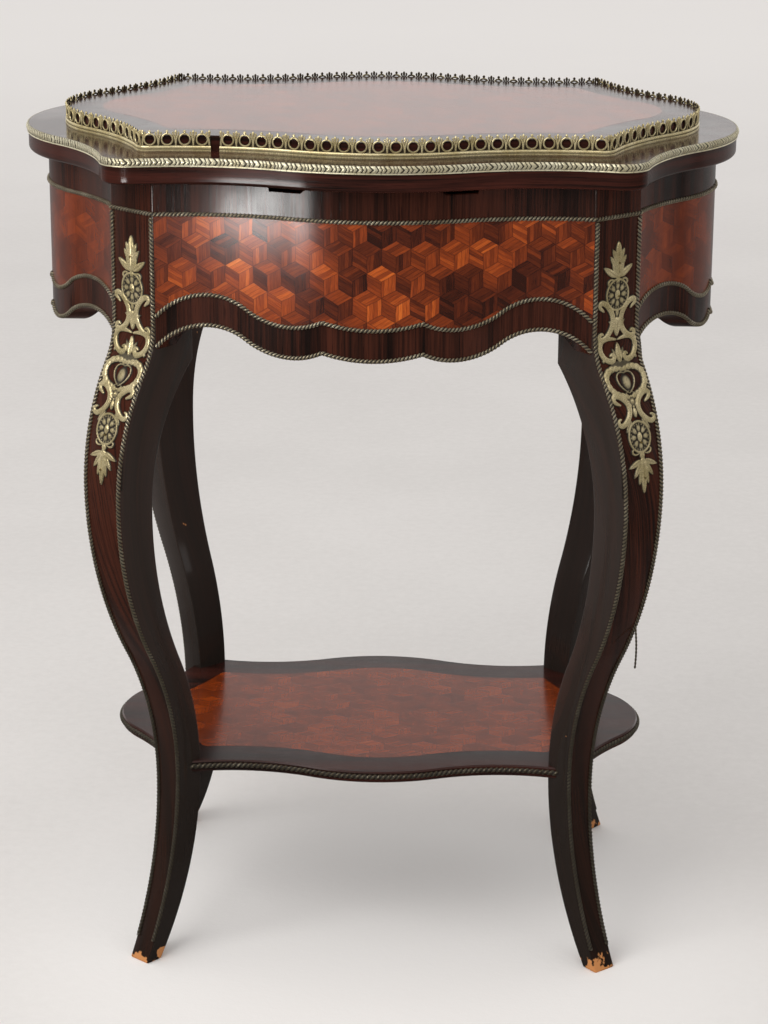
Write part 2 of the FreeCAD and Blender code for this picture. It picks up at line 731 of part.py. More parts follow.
pins = []
for side, (way_x, way_y) in SIDES.items():
    triangle = wedge_face(way_x, way_y)
    side_line = Part.Wire(Part.__sortEdges__(triangle.common(gallery_line).Edges))
    piercings = []
    for point, along in places(side_line, size("gallery_pitch")):
        through = UP.cross(along)
        level = lid_top + size("gallery_hole_height")
        start = point - through * size("gallery_foot_proud") * 2 + UP * level
        piercings.append(Part.makeCylinder(
            size("gallery_hole_radius"), size("gallery_foot_proud") * 4, start, through))
    wedge = prism(
        "gallery_wedge_" + side, triangle, "Sizes.gallery_height * 2",
        base="Sizes.lid_underside + Sizes.lid_thickness - Sizes.gallery_height / 2")
    length = common("gallery_length_" + side, gallery_whole, wedge)
    piercing = held("gallery_piercing_" + side, Part.Compound(piercings))
    node("gallery_" + side, cut("gallery_" + side, length, piercing))
    for number, (point, along) in enumerate(places(side_line, size("gallery_pin_pitch"))):
        pins.append(cylinder(
            "gallery_pin_%s_%d" % (side, number), "Sizes.gallery_pin_radius", "Sizes.gallery_pin_length",
            Placement(point + UP * (lid_top - size("gallery_pin_length")), Rotation())))
gallery_pins = node("gallery_pins", group("gallery_pins", pins))

# Hinges: a leaf let into the rear rail, a leaf let into the lid, a pin along X

case_back = size("top_half_depth") - size("case_inset")
axis_y = case_back + size("hinge_behind")
axis_z = case_top - size("barrel_radius")
ALONG_X = Rotation(Vector(0, 1, 0), 90)
case_leaves = []
lid_leaves = []
case_screws = []
lid_screws = []


def screw(name, point, way, length):
    """Countersunk screw with its head flush at the point, running up (1) or down (-1)."""
    turn = Rotation() if way > 0 else Rotation(Vector(1, 0, 0), 180)
    head = doc.addObject("Part::Cone", name + "_head")
    bind(head, Radius1="Sizes.screw_head_radius", Radius2="Sizes.screw_radius",
         Height="Sizes.screw_head_height")
    head.Placement = Placement(point, turn)
    shank = cylinder(name + "_shank", "Sizes.screw_radius", length, Placement(point, turn))
    return fused(name, [head, shank])


for side, way in (("left", -1), ("right", 1)):
    middle = way * size("hinge_offset")
    low = middle - size("hinge_length") / 2
    third = size("hinge_length") / 3
    front = axis_y - size("leaf_width")
    half_gap = size("knuckle_gap") / 2

    barrel = cylinder(
        "case_barrel_" + side, "Sizes.barrel_radius", "Sizes.hinge_length",
        Placement(Vector(low, axis_y, axis_z), ALONG_X))
    case_plate = box(
        "case_plate_" + side, "Sizes.hinge_length", "Sizes.leaf_width", "Sizes.leaf_thickness",
        Placement(Vector(low, front, case_top - size("leaf_thickness")), Rotation()))
    room = box(
        "knuckle_room_" + side, "Sizes.hinge_length / 3 + Sizes.knuckle_gap",
        "Sizes.barrel_radius * 2 + Sizes.knuckle_gap * 2", "Sizes.barrel_radius * 4",
        Placement(
            Vector(low + third - half_gap, axis_y - size("barrel_radius") - size("knuckle_gap"),
                   axis_z - size("barrel_radius") * 2), Rotation()))
    pin = node("hinge_pin_" + side, cylinder(
        "hinge_pin_" + side, "Sizes.hinge_pin_radius", "Sizes.hinge_length",
        Placement(Vector(low, axis_y, axis_z), ALONG_X)))
    case_shape = cut(
        "case_leaf_open_" + side, fused("case_leaf_whole_" + side, [barrel, case_plate]),
        group("case_leaf_cuts_" + side, [room]))

    knuckle = cylinder(
        "lid_knuckle_" + side, "Sizes.barrel_radius", "Sizes.hinge_length / 3 - Sizes.knuckle_gap",
        Placement(Vector(low + third + half_gap, axis_y, axis_z), ALONG_X))
    web = box(
        "lid_web_" + side, "Sizes.hinge_length / 3 - Sizes.knuckle_gap", "Sizes.barrel_radius",
        "Sizes.barrel_radius + Sizes.lid_seat_gap + Sizes.leaf_thickness",
        Placement(Vector(low + third + half_gap, axis_y - size("barrel_radius"), axis_z), Rotation()))
    lid_plate = box(
        "lid_plate_" + side, "Sizes.hinge_length", "Sizes.leaf_width", "Sizes.leaf_thickness",
        Placement(Vector(low, front, size("lid_underside")), Rotation()))
    pin_hole = cylinder(
        "lid_pin_hole_" + side, "Sizes.hinge_pin_radius + Sizes.hinge_pin_gap", "Sizes.hinge_length",
        Placement(Vector(low, axis_y, axis_z), ALONG_X))
    lid_shape = cut(
        "lid_leaf_whole_" + side, fused("lid_leaf_joined_" + side, [knuckle, web, lid_plate]), pin_hole)

    pair_case = []
    pair_lid = []
    for number, step in enumerate((-1, 1)):
        across = middle + step * size("screw_spacing") / 2
        back = front + size("screw_from_edge")
        pair_case.append(screw(
            "case_screw_%s_%d" % (side, number), Vector(across, back, case_top), -1, "Sizes.screw_length"))
        pair_lid.append(screw(
            "lid_screw_%s_%d" % (side, number), Vector(across, back, size("lid_underside")), 1,
            "Sizes.screw_length"))
    case_screws += pair_case
    lid_screws += pair_lid
    case_leaf_cuts = group("case_leaf_holes_" + side, pair_case + [pin])
    node("hinge_case_leaf_" + side, cut("hinge_case_leaf_" + side, case_shape, case_leaf_cuts))
    lid_leaf_cuts = group("lid_leaf_holes_" + side, pair_lid)
    node("hinge_lid_leaf_" + side, cut("hinge_lid_leaf_" + side, lid_shape, lid_leaf_cuts))
    case_leaves.append(case_plate)
    lid_leaves.append(lid_plate)
case_screw_set = node("hinge_screws_case", group("hinge_screws_case", case_screws))
lid_screw_set = node("hinge_screws_lid", group("hinge_screws_lid", lid_screws))


# Mirror under the lid: glass in a rebated frame


def origin_plane(body, role):
    for feature in body.Origin.OriginFeatures:
        if feature.Role == role:
            return feature
    raise ValueError(role)


def centred_rectangle(body, name, length, width, plane="XY_Plane"):
    """Sketch of a rectangle about the origin, its two sides bound to the sheet."""
    sketch = body.newObject("Sketcher::SketchObject", name)
    sketch.AttachmentSupport = (origin_plane(body, plane), [""])
    sketch.MapMode = "FlatFace"
    corners = [Vector(-1, -1, 0), Vector(1, -1, 0), Vector(1, 1, 0), Vector(-1, 1, 0)]
    for number in range(4):
        sketch.addGeometry(Part.LineSegment(corners[number], corners[(number + 1) % 4]), False)
    for number in range(4):
        sketch.addConstraint(Sketcher.Constraint("Coincident", number, 2, (number + 1) % 4, 1))
    for number in (0, 2):
        sketch.addConstraint(Sketcher.Constraint("Horizontal", number))
    for number in (1, 3):
        sketch.addConstraint(Sketcher.Constraint("Vertical", number))
    sketch.addConstraint(Sketcher.Constraint("Symmetric", 0, 1, 1, 2, -1, 1))
    length_number = sketch.addConstraint(Sketcher.Constraint("DistanceX", 0, 1, 0, 2, 1))
    width_number = sketch.addConstraint(Sketcher.Constraint("DistanceY", 1, 1, 1, 2, 1))
    sketch.setExpression("Constraints[%d]" % length_number, length)
    sketch.setExpression("Constraints[%d]" % width_number, width)
    return sketch


def pad(body, name, sketch, length):
    feature = body.newObject("PartDesign::Pad", name)
    feature.Profile = sketch
    feature.setExpression("Length", length)
    return feature


def pocket(body, name, sketch, length):
    """Pocket that runs up from the sketch into the solid."""
    feature = body.newObject("PartDesign::Pocket", name)
    feature.Profile = sketch
    feature.Reversed = True
    feature.setExpression("Length", length)
    return feature


frame_body = doc.addObject("PartDesign::Body", "mirror_frame")
pad(frame_body, "frame_pad",
    centred_rectangle(frame_body, "frame_outline", "Sizes.mirror_length", "Sizes.mirror_depth"),
    "Sizes.mirror_frame_thickness")
pocket(frame_body, "frame_opening",
       centred_rectangle(
           frame_body, "opening_outline",
           "Sizes.mirror_length - 2 * Sizes.mirror_frame_width",
           "Sizes.mirror_depth - 2 * Sizes.mirror_frame_width"),
       "Sizes.mirror_frame_thickness")
doc.recompute()
rebate_sketch = centred_rectangle(
    frame_body, "rebate_outline",
    "Sizes.mirror_length - 2 * Sizes.mirror_frame_width + 2 * Sizes.mirror_rebate",
    "Sizes.mirror_depth - 2 * Sizes.mirror_frame_width + 2 * Sizes.mirror_rebate")
bind(rebate_sketch, AttachmentOffset__Base__z="Sizes.mirror_frame_thickness - Sizes.glass_thickness")
pocket(frame_body, "frame_rebate", rebate_sketch, "Sizes.glass_thickness")
bind(frame_body, Placement__Base__z="Sizes.lid_underside - Sizes.mirror_frame_thickness")

glass_body = doc.addObject("PartDesign::Body", "mirror_glass")
pad(glass_body, "glass_pad",
    centred_rectangle(
        glass_body, "glass_outline",
        "Sizes.mirror_length - 2 * Sizes.mirror_frame_width + 2 * Sizes.mirror_rebate",
        "Sizes.mirror_depth - 2 * Sizes.mirror_frame_width + 2 * Sizes.mirror_rebate"),
    "Sizes.glass_thickness")
bind(glass_body, Placement__Base__z="Sizes.lid_underside - Sizes.glass_thickness")
node("mirror_glass", glass_body)

frame_bottom = size("lid_underside") - size("mirror_frame_thickness")
screw_in = (size("mirror_frame_width") - size("mirror_rebate")) / 2
mirror_screws = []
for number, (share_x, share_y) in enumerate(((-1, -1), (0, -1), (1, -1), (-1, 1), (0, 1), (1, 1))):
    point = Vector(
        share_x * (size("mirror_length") / 2 - screw_in),
        share_y * (size("mirror_depth") / 2 - screw_in), frame_bottom)
    mirror_screws.append(screw("mirror_screw_%d" % number, point, 1, "Sizes.mirror_screw_length"))
mirror_screw_set = node("mirror_screws", group("mirror_screws", mirror_screws))
node("mirror_frame", cut("mirror_frame_drilled", frame_body, mirror_screw_set))

lid_rounded = doc.addObject("Part::Fillet", "lid_rounded")
lid_rounded.Base = lid_block
doc.recompute()
rounded_edges = []
for number, edge in enumerate(lid_block.Shape.Edges, start=1):
    if edge.BoundBox.ZMax - size("lid_underside") < size("lid_edge_round") / 2:
        rounded_edges.append((number, size("lid_edge_round"), size("lid_edge_round")))
lid_rounded.Edges = rounded_edges
node("lid_board", cut("lid_board", lid_rounded, group(
    "lid_cuts", [lid_screw_set, mirror_screw_set, gallery_pins] + lid_leaves)))

# Shelf, housed round the ankles of the legs

shelf_middle = size("shelf_top") - size("shelf_thickness") / 2
inner_at_shelf = profile_at(inner_profile, shelf_middle)
shelf_corner = leg_face + leg_outward * (inner_at_shelf - size("shelf_corner_inset"))
shelf_outline = Outline(
    "shelf", size("top_half_length") - size("shelf_end_inset"),
    size("top_half_depth") - size("shelf_front_inset"), shelf_corner)
shelf_bottom = "Sizes.shelf_top - Sizes.shelf_thickness"

legs = {}
for corner in CORNERS:
    leg = common("leg_whole_" + corner, leg_side, leg_front)
    leg.Placement = leg_place(corner)
    legs[corner] = leg
all_legs = group("legs", list(legs.values()))

shelf_block = prism(
    "shelf_block", shelf_outline.plate(size("rim_bead_proud")), "Sizes.shelf_thickness", base=shelf_bottom)
shelf_panel = prism(
    "shelf_panel_whole", shelf_outline.plate(size("rim_bead_proud") + size("shelf_border")),
    "Sizes.veneer_thickness", base="Sizes.shelf_top - Sizes.veneer_thickness")
shelf_panel_cut = node("shelf_cube_panel", cut("shelf_cube_panel", shelf_panel, all_legs))
shelf_ring = prism(
    "shelf_bead_ring", shelf_outline.ring(0, size("rim_bead_proud")), "Sizes.shelf_bead_height",
    base="Sizes.shelf_top - Sizes.shelf_thickness / 2 - Sizes.shelf_bead_height / 2")
node("shelf_beading", cut("shelf_beading", shelf_ring, all_legs))

dowels = []
for corner in CORNERS:
    start = Vector(inner_at_shelf - size("dowel_length") / 2, 0, shelf_middle)
    dowels.append(cylinder(
        "shelf_dowel_" + corner, "Sizes.dowel_radius", "Sizes.dowel_length",
        leg_place(corner, start, ALONG_X)))
dowel_set = node("shelf_dowels", group("shelf_dowels", dowels))
node("shelf_board", cut("shelf_board", shelf_block, group(
    "shelf_cuts", [all_legs, dowel_set, shelf_panel])))

# Leg beading and mounts, in a leg's own frame

bead_high = size("waist_height") - size("bead_width") / 2
leg_bead_band = prism(
    "leg_bead_band",
    between(
        profile_edges(outer_profile, bead_high, size("leg_bead_end")),
        profile_edges(outer_profile, bead_high, size("leg_bead_end"), size("bead_proud"))),
    "Sizes.leg_width * 2", SIDEWAYS, both_ways=True)
flank_faces = Part.Compound([between(flank(way, 0), flank(way, size("bead_width"))) for way in (-1, 1)])
leg_bead_edges = prism(
    "leg_bead_edges", flank_faces, "(Sizes.knee_out + Sizes.overrun) * 2", OUTWARD, both_ways=True)

mount_length = size("mount_top") - size("mount_bottom")
mount_band = prism(
    "mount_band",
    between(
        profile_edges(outer_profile, size("mount_top"), size("mount_bottom")),
        profile_edges(outer_profile, size("mount_top"), size("mount_bottom"), size("mount_thickness"))),
    "Sizes.leg_width", SIDEWAYS, both_ways=True)

# Discs of a mount as shares of its length: down from the tip, off the middle, radius
DISC_SHARES = [
    (0.020, 0.0, 0.020),
    (0.060, 0.0, 0.042),
    (0.105, 0.0, 0.050),
    (0.150, 0.0, 0.026),
    (0.215, 0.0, 0.046),
    (0.275, 0.0, 0.022),
    (0.305, 0.032, 0.036),
    (0.375, 0.030, 0.038),
    (0.430, 0.0, 0.060),
    (0.485, 0.035, 0.036),
    (0.555, 0.0, 0.058),
    (0.635, 0.034, 0.038),
    (0.705, 0.032, 0.036),
    (0.765, 0.0, 0.042),
    (0.820, 0.0, 0.024),
    (0.865, 0.0, 0.044),
    (0.915, 0.0, 0.034),
    (0.955, 0.0, 0.024),
    (0.985, 0.0, 0.015),
]
# Openings of a mount, given the same way
HOLE_SHARES = [
    (0.340, 0.048, 0.014),
    (0.555, 0.0, 0.030),
    (0.670, 0.050, 0.014),
]
PIN_SHARES = [0.085, 0.215, 0.765, 0.900]


def mount_discs(name, shares):
    """Discs through a mount, on both sides of the middle where they lie off it."""
    discs = []
    reach = size("knee_out") + size("overrun")
    for share_down, share_off, share_radius in shares:
        for way in (-1, 1) if share_off else (1,):
            start = Vector(
                -size("overrun"), way * share_off * mount_length,
                size("mount_top") - share_down * mount_length)
            discs.append(Part.makeCylinder(
                share_radius * mount_length, reach + size("overrun"), start, OUTWARD))
    return discs


mount_discs_all = mount_discs("mount_disc", DISC_SHARES)
mount_plan = held("mount_plan", mount_discs_all[0].multiFuse(mount_discs_all[1:]))
mount_holes = held("mount_holes", Part.Compound(mount_discs("mount_hole", HOLE_SHARES)))
mount_cast = cut("mount_cast", common("mount_whole", mount_band, mount_plan), mount_holes)

local_pins = []
for number, share_down in enumerate(PIN_SHARES):
    height = size("mount_top") - share_down * mount_length
    outside = profile_at(outer_profile, height) + size("mount_thickness") + size("mount_pin_head")
    local_pins.append(cylinder(
        "mount_pin_%d" % number, "Sizes.mount_pin_radius",
        "Sizes.mount_pin_depth + Sizes.mount_thickness + Sizes.mount_pin_head",
        Placement(
            Vector(outside - size("mount_pin_depth") - size("mount_thickness") - size("mount_pin_head"),
                   0, height), ALONG_X)))
pin_group = group("mount_pin_group", local_pins)

pin_sets = []
for corner in CORNERS:
    beading = common("leg_beading_" + corner, leg_bead_band, leg_bead_edges)
    beading.Placement = leg_place(corner)
    node("leg_beading_" + corner, beading)
    mount = cut("leg_mount_" + corner, mount_cast, pin_group)
    mount.Placement = leg_place(corner)
    node("leg_mount_" + corner, mount)
    pins = group("mount_pins_" + corner, local_pins)
    pins.Placement = leg_place(corner)
    pin_sets.append(pins)
    node("leg_" + corner, cut("leg_" + corner, legs[corner], group(
        "leg_cuts_" + corner, tongues + [dowel_set, pins])))
node("mount_pins", group("mount_pins", pin_sets))

# Well: bottom board on battens, two partitions

well_plan = top_outline.plate(case_inner)
well_block = prism(
    "well_block", well_plan, "Sizes.bottom_thickness", base="Sizes.bottom_top - Sizes.bottom_thickness")
node("well_bottom", cut("well_bottom", well_block, all_blocks))
batten_ring = prism(
    "batten_ring", top_outline.ring(case_inner, case_inner + size("batten_width")), "Sizes.batten_height",
    base="Sizes.bottom_top - Sizes.bottom_thickness - Sizes.batten_height")
node("bottom_battens", cut("bottom_battens", batten_ring, all_blocks))

well_space = prism(
    "well_space", well_plan, "Sizes.partition_top - Sizes.bottom_top", base="Sizes.bottom_top")
for side, way in (("left", -1), ("right", 1)):
    start = Vector(
        way * size("partition_offset") - size("partition_thickness") / 2,
        -size("top_half_depth"), size("bottom_top"))
    board = box(
        "partition_board_" + side, "Sizes.partition_thickness", "Sizes.top_half_depth * 2",
        "Sizes.partition_top - Sizes.bottom_top", Placement(start, Rotation()))
    node("partition_" + side, common("partition_" + side, well_space, board))

# Aprons with their notches and hinge recesses


def notch_face(way):
    """Notch in the top of the front rail: upright outer end, sloping inner end."""
    middle = size("notch_offset")
    half = size("notch_length") / 2
    low = case_top - size("notch_height")
    high = case_top + size("notch_height")
    slope = 2 * size("notch_ramp")
    points = [
        Vector(way * (middle + half), 0, high),
        Vector(way * (middle + half), 0, low),
        Vector(way * (middle - half + size("notch_ramp")), 0, low),
        Vector(way * (middle - half + size("notch_ramp") - slope), 0, high),
    ]
    return face_of([line(points[number], points[(number + 1) % 4]) for number in range(4)])


notches = []
for side, way in (("left", -1), ("right", 1)):
    notches.append(outward_prism("notch_" + side, "front", notch_face(way)))
node("apron_front", cut("apron_front", apron_walls["front"], group("front_cuts", notches)))
node("apron_rear", cut("apron_rear", apron_walls["rear"], group(
    "rear_cuts", case_leaves + [case_screw_set])))
for side in ("left", "right"):
    node("apron_" + side, apron_walls[side])

doc.recompute()

for feature in doc.Objects:
    if "Invalid" in feature.State or "Error" in feature.State:
        raise RuntimeError("failed: " + feature.Name)
for name, feature in nodes.items():
    if feature.Shape.isNull() or not feature.Shape.isValid():
        raise RuntimeError("bad shape: " + name)
    if not feature.Shape.Solids:
        raise RuntimeError("no solid: " + name)
for name, feature in nodes.items():
    feature.Shape.exportStep("parts/%s.step" % name)
    print(name, len(feature.Shape.Solids), "solids, volume", round(feature.Shape.Volume))
print(len(nodes), "nodes")
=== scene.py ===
"""Looks of the dressing table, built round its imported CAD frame.

Sizes are written in millimetres and turned to metres when a mesh is made. The table stands on z = 0, its
front looks along -y and its left end along -x.
"""

import math

import bmesh
import bpy
import numpy as np
from mathutils import Matrix


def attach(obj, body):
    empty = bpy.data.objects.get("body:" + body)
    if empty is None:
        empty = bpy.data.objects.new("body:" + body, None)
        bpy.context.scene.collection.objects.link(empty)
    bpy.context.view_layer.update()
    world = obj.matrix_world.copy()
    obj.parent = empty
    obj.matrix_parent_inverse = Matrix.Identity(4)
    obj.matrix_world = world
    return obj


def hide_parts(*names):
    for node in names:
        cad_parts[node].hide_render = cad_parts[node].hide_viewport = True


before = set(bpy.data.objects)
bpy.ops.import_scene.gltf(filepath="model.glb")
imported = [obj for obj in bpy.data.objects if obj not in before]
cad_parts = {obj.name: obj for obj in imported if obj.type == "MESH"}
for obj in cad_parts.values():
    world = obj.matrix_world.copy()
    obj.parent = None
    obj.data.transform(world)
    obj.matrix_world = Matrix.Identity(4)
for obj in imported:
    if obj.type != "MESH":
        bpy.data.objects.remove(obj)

bl_info = {
    "name": "Dressing Table",
    "version": (1, 0, 0),
    "blender": (4, 5, 0),
    "location": "View3D > Sidebar > Dressing Table",
    "description": "Veneer, parquetry, beading, gallery and leg mounts of a dressing table",
    "category": "Object",
}

MM = 0.001
PHOTO_HEIGHT = 1024

# ---- Plan outlines ----


def circles_meet(first, first_radius, second, second_radius, near):
    """Crossing of two circles that lies nearer to a given point."""
    gap = second - first
    distance = math.hypot(*gap)
    along = (distance ** 2 + first_radius ** 2 - second_radius ** 2) / (2 * distance)
    across = math.sqrt(first_radius ** 2 - along ** 2)
    middle = first + gap * along / distance
    aside = np.array([-gap[1], gap[0]]) * across / distance
    return min(middle + aside, middle - aside, key=lambda place: math.hypot(*(place - near)))


class Outline:
    """Plan of a board, five arcs to a quarter: end, cove, corner, hollow and front.

    A point of an arc is centre + radius (cos a, sin a). An inset d shortens the outward arcs by d and
    lengthens the inward ones by d.
    """

    COUNTS = (24, 22, 12, 26, 26)

    def __init__(self, end, end_radius, front, front_radius, hollow, hollow_radius, cove, cove_radius,
                 corner, corner_radius, least):
        self.end, self.front, self.corner = np.array(end), np.array(front), np.array(corner)
        self.end_radius, self.front_radius = end_radius, front_radius
        self.hollow_radius, self.cove_radius = hollow_radius, cove_radius
        self.corner_radius, self.least = corner_radius, least
        self.hollow = np.array(hollow) if hollow else circles_meet(
            self.front, front_radius + hollow_radius, self.corner, hollow_radius + corner_radius,
            np.array([0.0, 1000.0]))
        self.cove = np.array(cove) if cove else circles_meet(
            self.end, end_radius + cove_radius, self.corner, cove_radius + corner_radius,
            np.array([1000.0, 0.0]))

    def quarter(self, inset, counts=COUNTS):
        """Points and outward normals from the middle of the end to the middle of the rear."""
        radius = max(self.corner_radius - inset, self.least)
        corner = circles_meet(self.cove, self.cove_radius + inset + radius,
                              self.hollow, self.hollow_radius + inset + radius, self.corner)
        arcs = (
            (self.end, self.end_radius - inset, self.end + (1, 0), self.cove, 1),
            (self.cove, self.cove_radius + inset, self.end, corner, -1),
            (corner, radius, self.cove, self.hollow, 1),
            (self.hollow, self.hollow_radius + inset, corner, self.front, -1),
            (self.front, self.front_radius - inset, self.hollow, self.front + (0, 1), 1),
        )
        points, normals = [], []
        for (centre, arc_radius, start, stop, way), count in zip(arcs, counts):
            first = math.atan2(*(start - centre)[::-1])
            sweep = math.atan2(*(stop - centre)[::-1]) - first
            sweep = (sweep + math.pi) % (2 * math.pi) - math.pi
            angle = first + sweep * np.arange(count) / count
            ray = np.stack([np.cos(angle), np.sin(angle)], -1)
            points.append(centre + arc_radius * ray)
            normals.append(way * ray)
        points.append(self.front + np.array([[0, self.front_radius - inset]]))
        normals.append(np.array([[0.0, 1.0]]))
        return np.concatenate(points), np.concatenate(normals)

    def loop(self, inset, counts=COUNTS):
        """Points and outward normals once round, anticlockwise from the middle of the right end."""
        halves = []
        for values in self.quarter(inset, counts):
            halves.append(np.concatenate([
                values[:-1], (values * (-1, 1))[::-1][:-1], (values * (-1, -1))[:-1],
                (values * (1, -1))[::-1][:-1]]))
        return halves

    def length_of(self, side, inset, counts=(60, 60, 24, 60, 60)):
        """Points and normals of one side's length, from the middle of a corner to that of the next."""
        points, normals = self.loop(inset, counts)
        quarter, turn = sum(counts), counts[0] + counts[1] + counts[2] // 2
        first, last = {
            "rear": (turn, 2 * quarter - turn), "left": (2 * quarter - turn, 2 * quarter + turn),
            "front": (2 * quarter + turn, 4 * quarter - turn),
            "right": (4 * quarter - turn, 4 * quarter + turn)}[side]
        index = np.arange(first, last + 1) % (4 * quarter)
        return points[index], normals[index]


TOP = Outline((177.0, 0.0), 129.0, (0.0, -8.0), 219.0, (146.35054, 387.80995), 203.0,
              (387.66532, 212.18181), 170.0, (199.0, 167.0), 24.0, 10.0)
SHELF = Outline((156.0, 0.0), 82.0, (0.0, -7.0), 155.0, None, 172.0, None, 200.0,
                (160.6, 108.3), 23.0, 6.0)


def spaced(points, normals, step, closed=False):
    """Points and normals again at equal steps along their line, and the distance of each from the start."""
    if closed:
        points = np.concatenate([points, points[:1]])
        normals = np.concatenate([normals, normals[:1]])
    length = np.concatenate([[0], np.cumsum(np.linalg.norm(np.diff(points, axis=0), axis=1))])
    count = max(2, int(round(length[-1] / step)))
    place = np.arange(count + (not closed)) * length[-1] / count
    points = np.stack([np.interp(place, length, values) for values in points.T], -1)
    normals = np.stack([np.interp(place, length, values) for values in normals.T], -1)
    return points, normals / np.linalg.norm(normals, axis=1, keepdims=True), place


# ---- Case walls ----

SIDES = {
    "front": (np.array([1.0, 0.0]), np.array([0.0, -1.0])),
    "right": (np.array([0.0, 1.0]), np.array([1.0, 0.0])),
    "rear": (np.array([-1.0, 0.0]), np.array([0.0, 1.0])),
    "left": (np.array([0.0, -1.0]), np.array([-1.0, 0.0])),
}
CASE_INSET, WALL = 18.5, 16.0
CASE_TOP, WAIST = 697.7, 671.0
BEAD_HALF, BEAD_LIFT, EDGE_DROP = 2.0, 0.3, 27.5
LOOSE_FROM, LOOSE_LENGTH = 321.0, 39.0
# middle low, cusp, lobe, curve and arch shares, lobe low, arch high, stile place and height
WAVES = {
    "long": (582.0, 0.229, 0.379, 0.527, 0.764, 581.2, 604.5, 179.33, 585.0),
    "short": (583.0, 0.189, 0.342, 0.479, 0.691, 582.5, 602.0, 137.40, 585.0),
}
# distances from the middle where a finger notch of the front wall starts, is deep, and ends
NOTCH, NOTCH_DEPTH = (52.0, 59.0, 84.4, 85.0), 4.8
# how far from its middle a wall's outer face and inner face run at the legs
SPANS = {"long": (178.6, 163.73), "short": (135.06, 121.56)}


def kind_of(side):
    """Which of the two wave and span rows a side takes."""
    return "long" if side in ("front", "rear") else "short"


def wall_span(side, inset):
    """How far from its middle a wall runs at an inset from the top's outline."""
    outer, inner = SPANS[kind_of(side)]
    return outer - (inset - CASE_INSET) * (outer - inner) / WALL


def wall_points(side, across, inset):
    """Plan points and normals of a wall, at distances across from the side's middle.

    Outward arc: reach = centre + sqrt(radius^2 - across^2). Hollow: reach = centre - sqrt(radius^2 -
    (across - place)^2).
    """
    across = np.asarray(across, float)
    size = np.abs(across)
    if kind_of(side) == "long":
        centre, radius = TOP.front[1], TOP.front_radius - inset
        place, level, hollow = TOP.hollow[0], TOP.hollow[1], TOP.hollow_radius + inset
    else:
        centre, radius = TOP.end[0], TOP.end_radius - inset
        place, level, hollow = TOP.cove[1], TOP.cove[0], TOP.cove_radius + inset
    join = radius * place / math.hypot(place, level - centre)
    bow = np.sqrt(np.maximum(radius ** 2 - size ** 2, 1e-6))
    dip = np.sqrt(np.maximum(hollow ** 2 - (size - place) ** 2, 1e-6))
    bowed = size <= join
    reach = np.where(bowed, centre + bow, level - dip)
    lean = np.where(bowed, size / radius, (place - size) / hollow) * np.sign(across)
    out = np.where(bowed, bow / radius, dip / hollow)
    along, outward = SIDES[side]
    points = across[..., None] * along + reach[..., None] * outward
    return points, lean[..., None] * along + out[..., None] * outward


def wave_height(side, across, drop=0.0):
    """Height of a wall's waved line: a middle arc, a lobe, an arch and a run down to the leg."""
    low, cusp, lobe, share, arch, lobe_low, arch_high, stile, level = WAVES[kind_of(side)]
    cusp, lobe, arch = cusp * stile, lobe * stile, arch * stile
    run, rise = arch - lobe, arch_high - lobe_low
    both = (run ** 2 + rise ** 2) / (2 * rise)
    lobe_radius, arch_radius = both * share, both * (1 - share)
    cusp_high = lobe_low + lobe_radius - math.sqrt(lobe_radius ** 2 - (lobe - cusp) ** 2)
    middle_radius = (cusp ** 2 + (cusp_high - low) ** 2) / (2 * (cusp_high - low))
    fall, outer_run = arch_high - level, stile - arch
    outer_radius = (outer_run ** 2 + fall ** 2) / (2 * fall)
    size = np.abs(across)

    def arc(radius, centre):
        return np.sqrt(np.maximum(radius ** 2 - (size - centre) ** 2, 0))

    return np.select(
        [size <= cusp, size <= lobe + run * share, size <= arch, size <= stile],
        [low + middle_radius - arc(middle_radius, 0), lobe_low + lobe_radius - arc(lobe_radius, lobe),
         arch_high - arch_radius + arc(arch_radius, arch),
         arch_high - outer_radius + arc(outer_radius, arch)], level) - drop


# ---- Legs ----

CORNERS = {"front_left": (-1, -1), "front_right": (1, -1), "rear_left": (-1, 1), "rear_right": (1, 1)}
LEG_FACE = np.array([198.48034, 153.46819])
LEG_OUT = np.array([0.64279, 0.76604])
SHOULDER, KNEE, ANKLE, INNER_SHOULDER, INNER_KNEE = 578.2, 435.0, 165.0, 543.0, 425.0


def double_curve(height, high, high_offset, low, low_offset, share):
    """Two arcs in one smooth curve, upright at both ends, joined at a share of the fall."""
    across, way = abs(low_offset - high_offset), math.copysign(1, low_offset - high_offset)
    both = (across ** 2 + (high - low) ** 2) / (2 * across)
    upper, lower = both * share, both * (1 - share)
    above = high_offset + way * (upper - np.sqrt(np.maximum(upper ** 2 - (height - high) ** 2, 0)))
    below = low_offset - way * (lower - np.sqrt(np.maximum(lower ** 2 - (height - low) ** 2, 0)))
    return np.where(height > high - (high - low) * share, above, below)


def foot_curve(height, offset, radius):
    """Arc that leaves the ankle upright and turns outwards below it."""
    return offset + radius - np.sqrt(radius ** 2 - (np.minimum(height, ANKLE) - ANKLE) ** 2)


def leg_outer(height):
    """Outer face of a leg: upright, out over the knee, in to the ankle and out at the foot."""
    foot = foot_curve(height, -29, 360.0)
    return np.select(
        [height >= SHOULDER, height >= KNEE, height >= ANKLE],
        [0 * height, double_curve(height, SHOULDER, 0, KNEE, 40, 0.2534),
         double_curve(height, KNEE, 40, ANKLE, -29, 0.551)], foot)


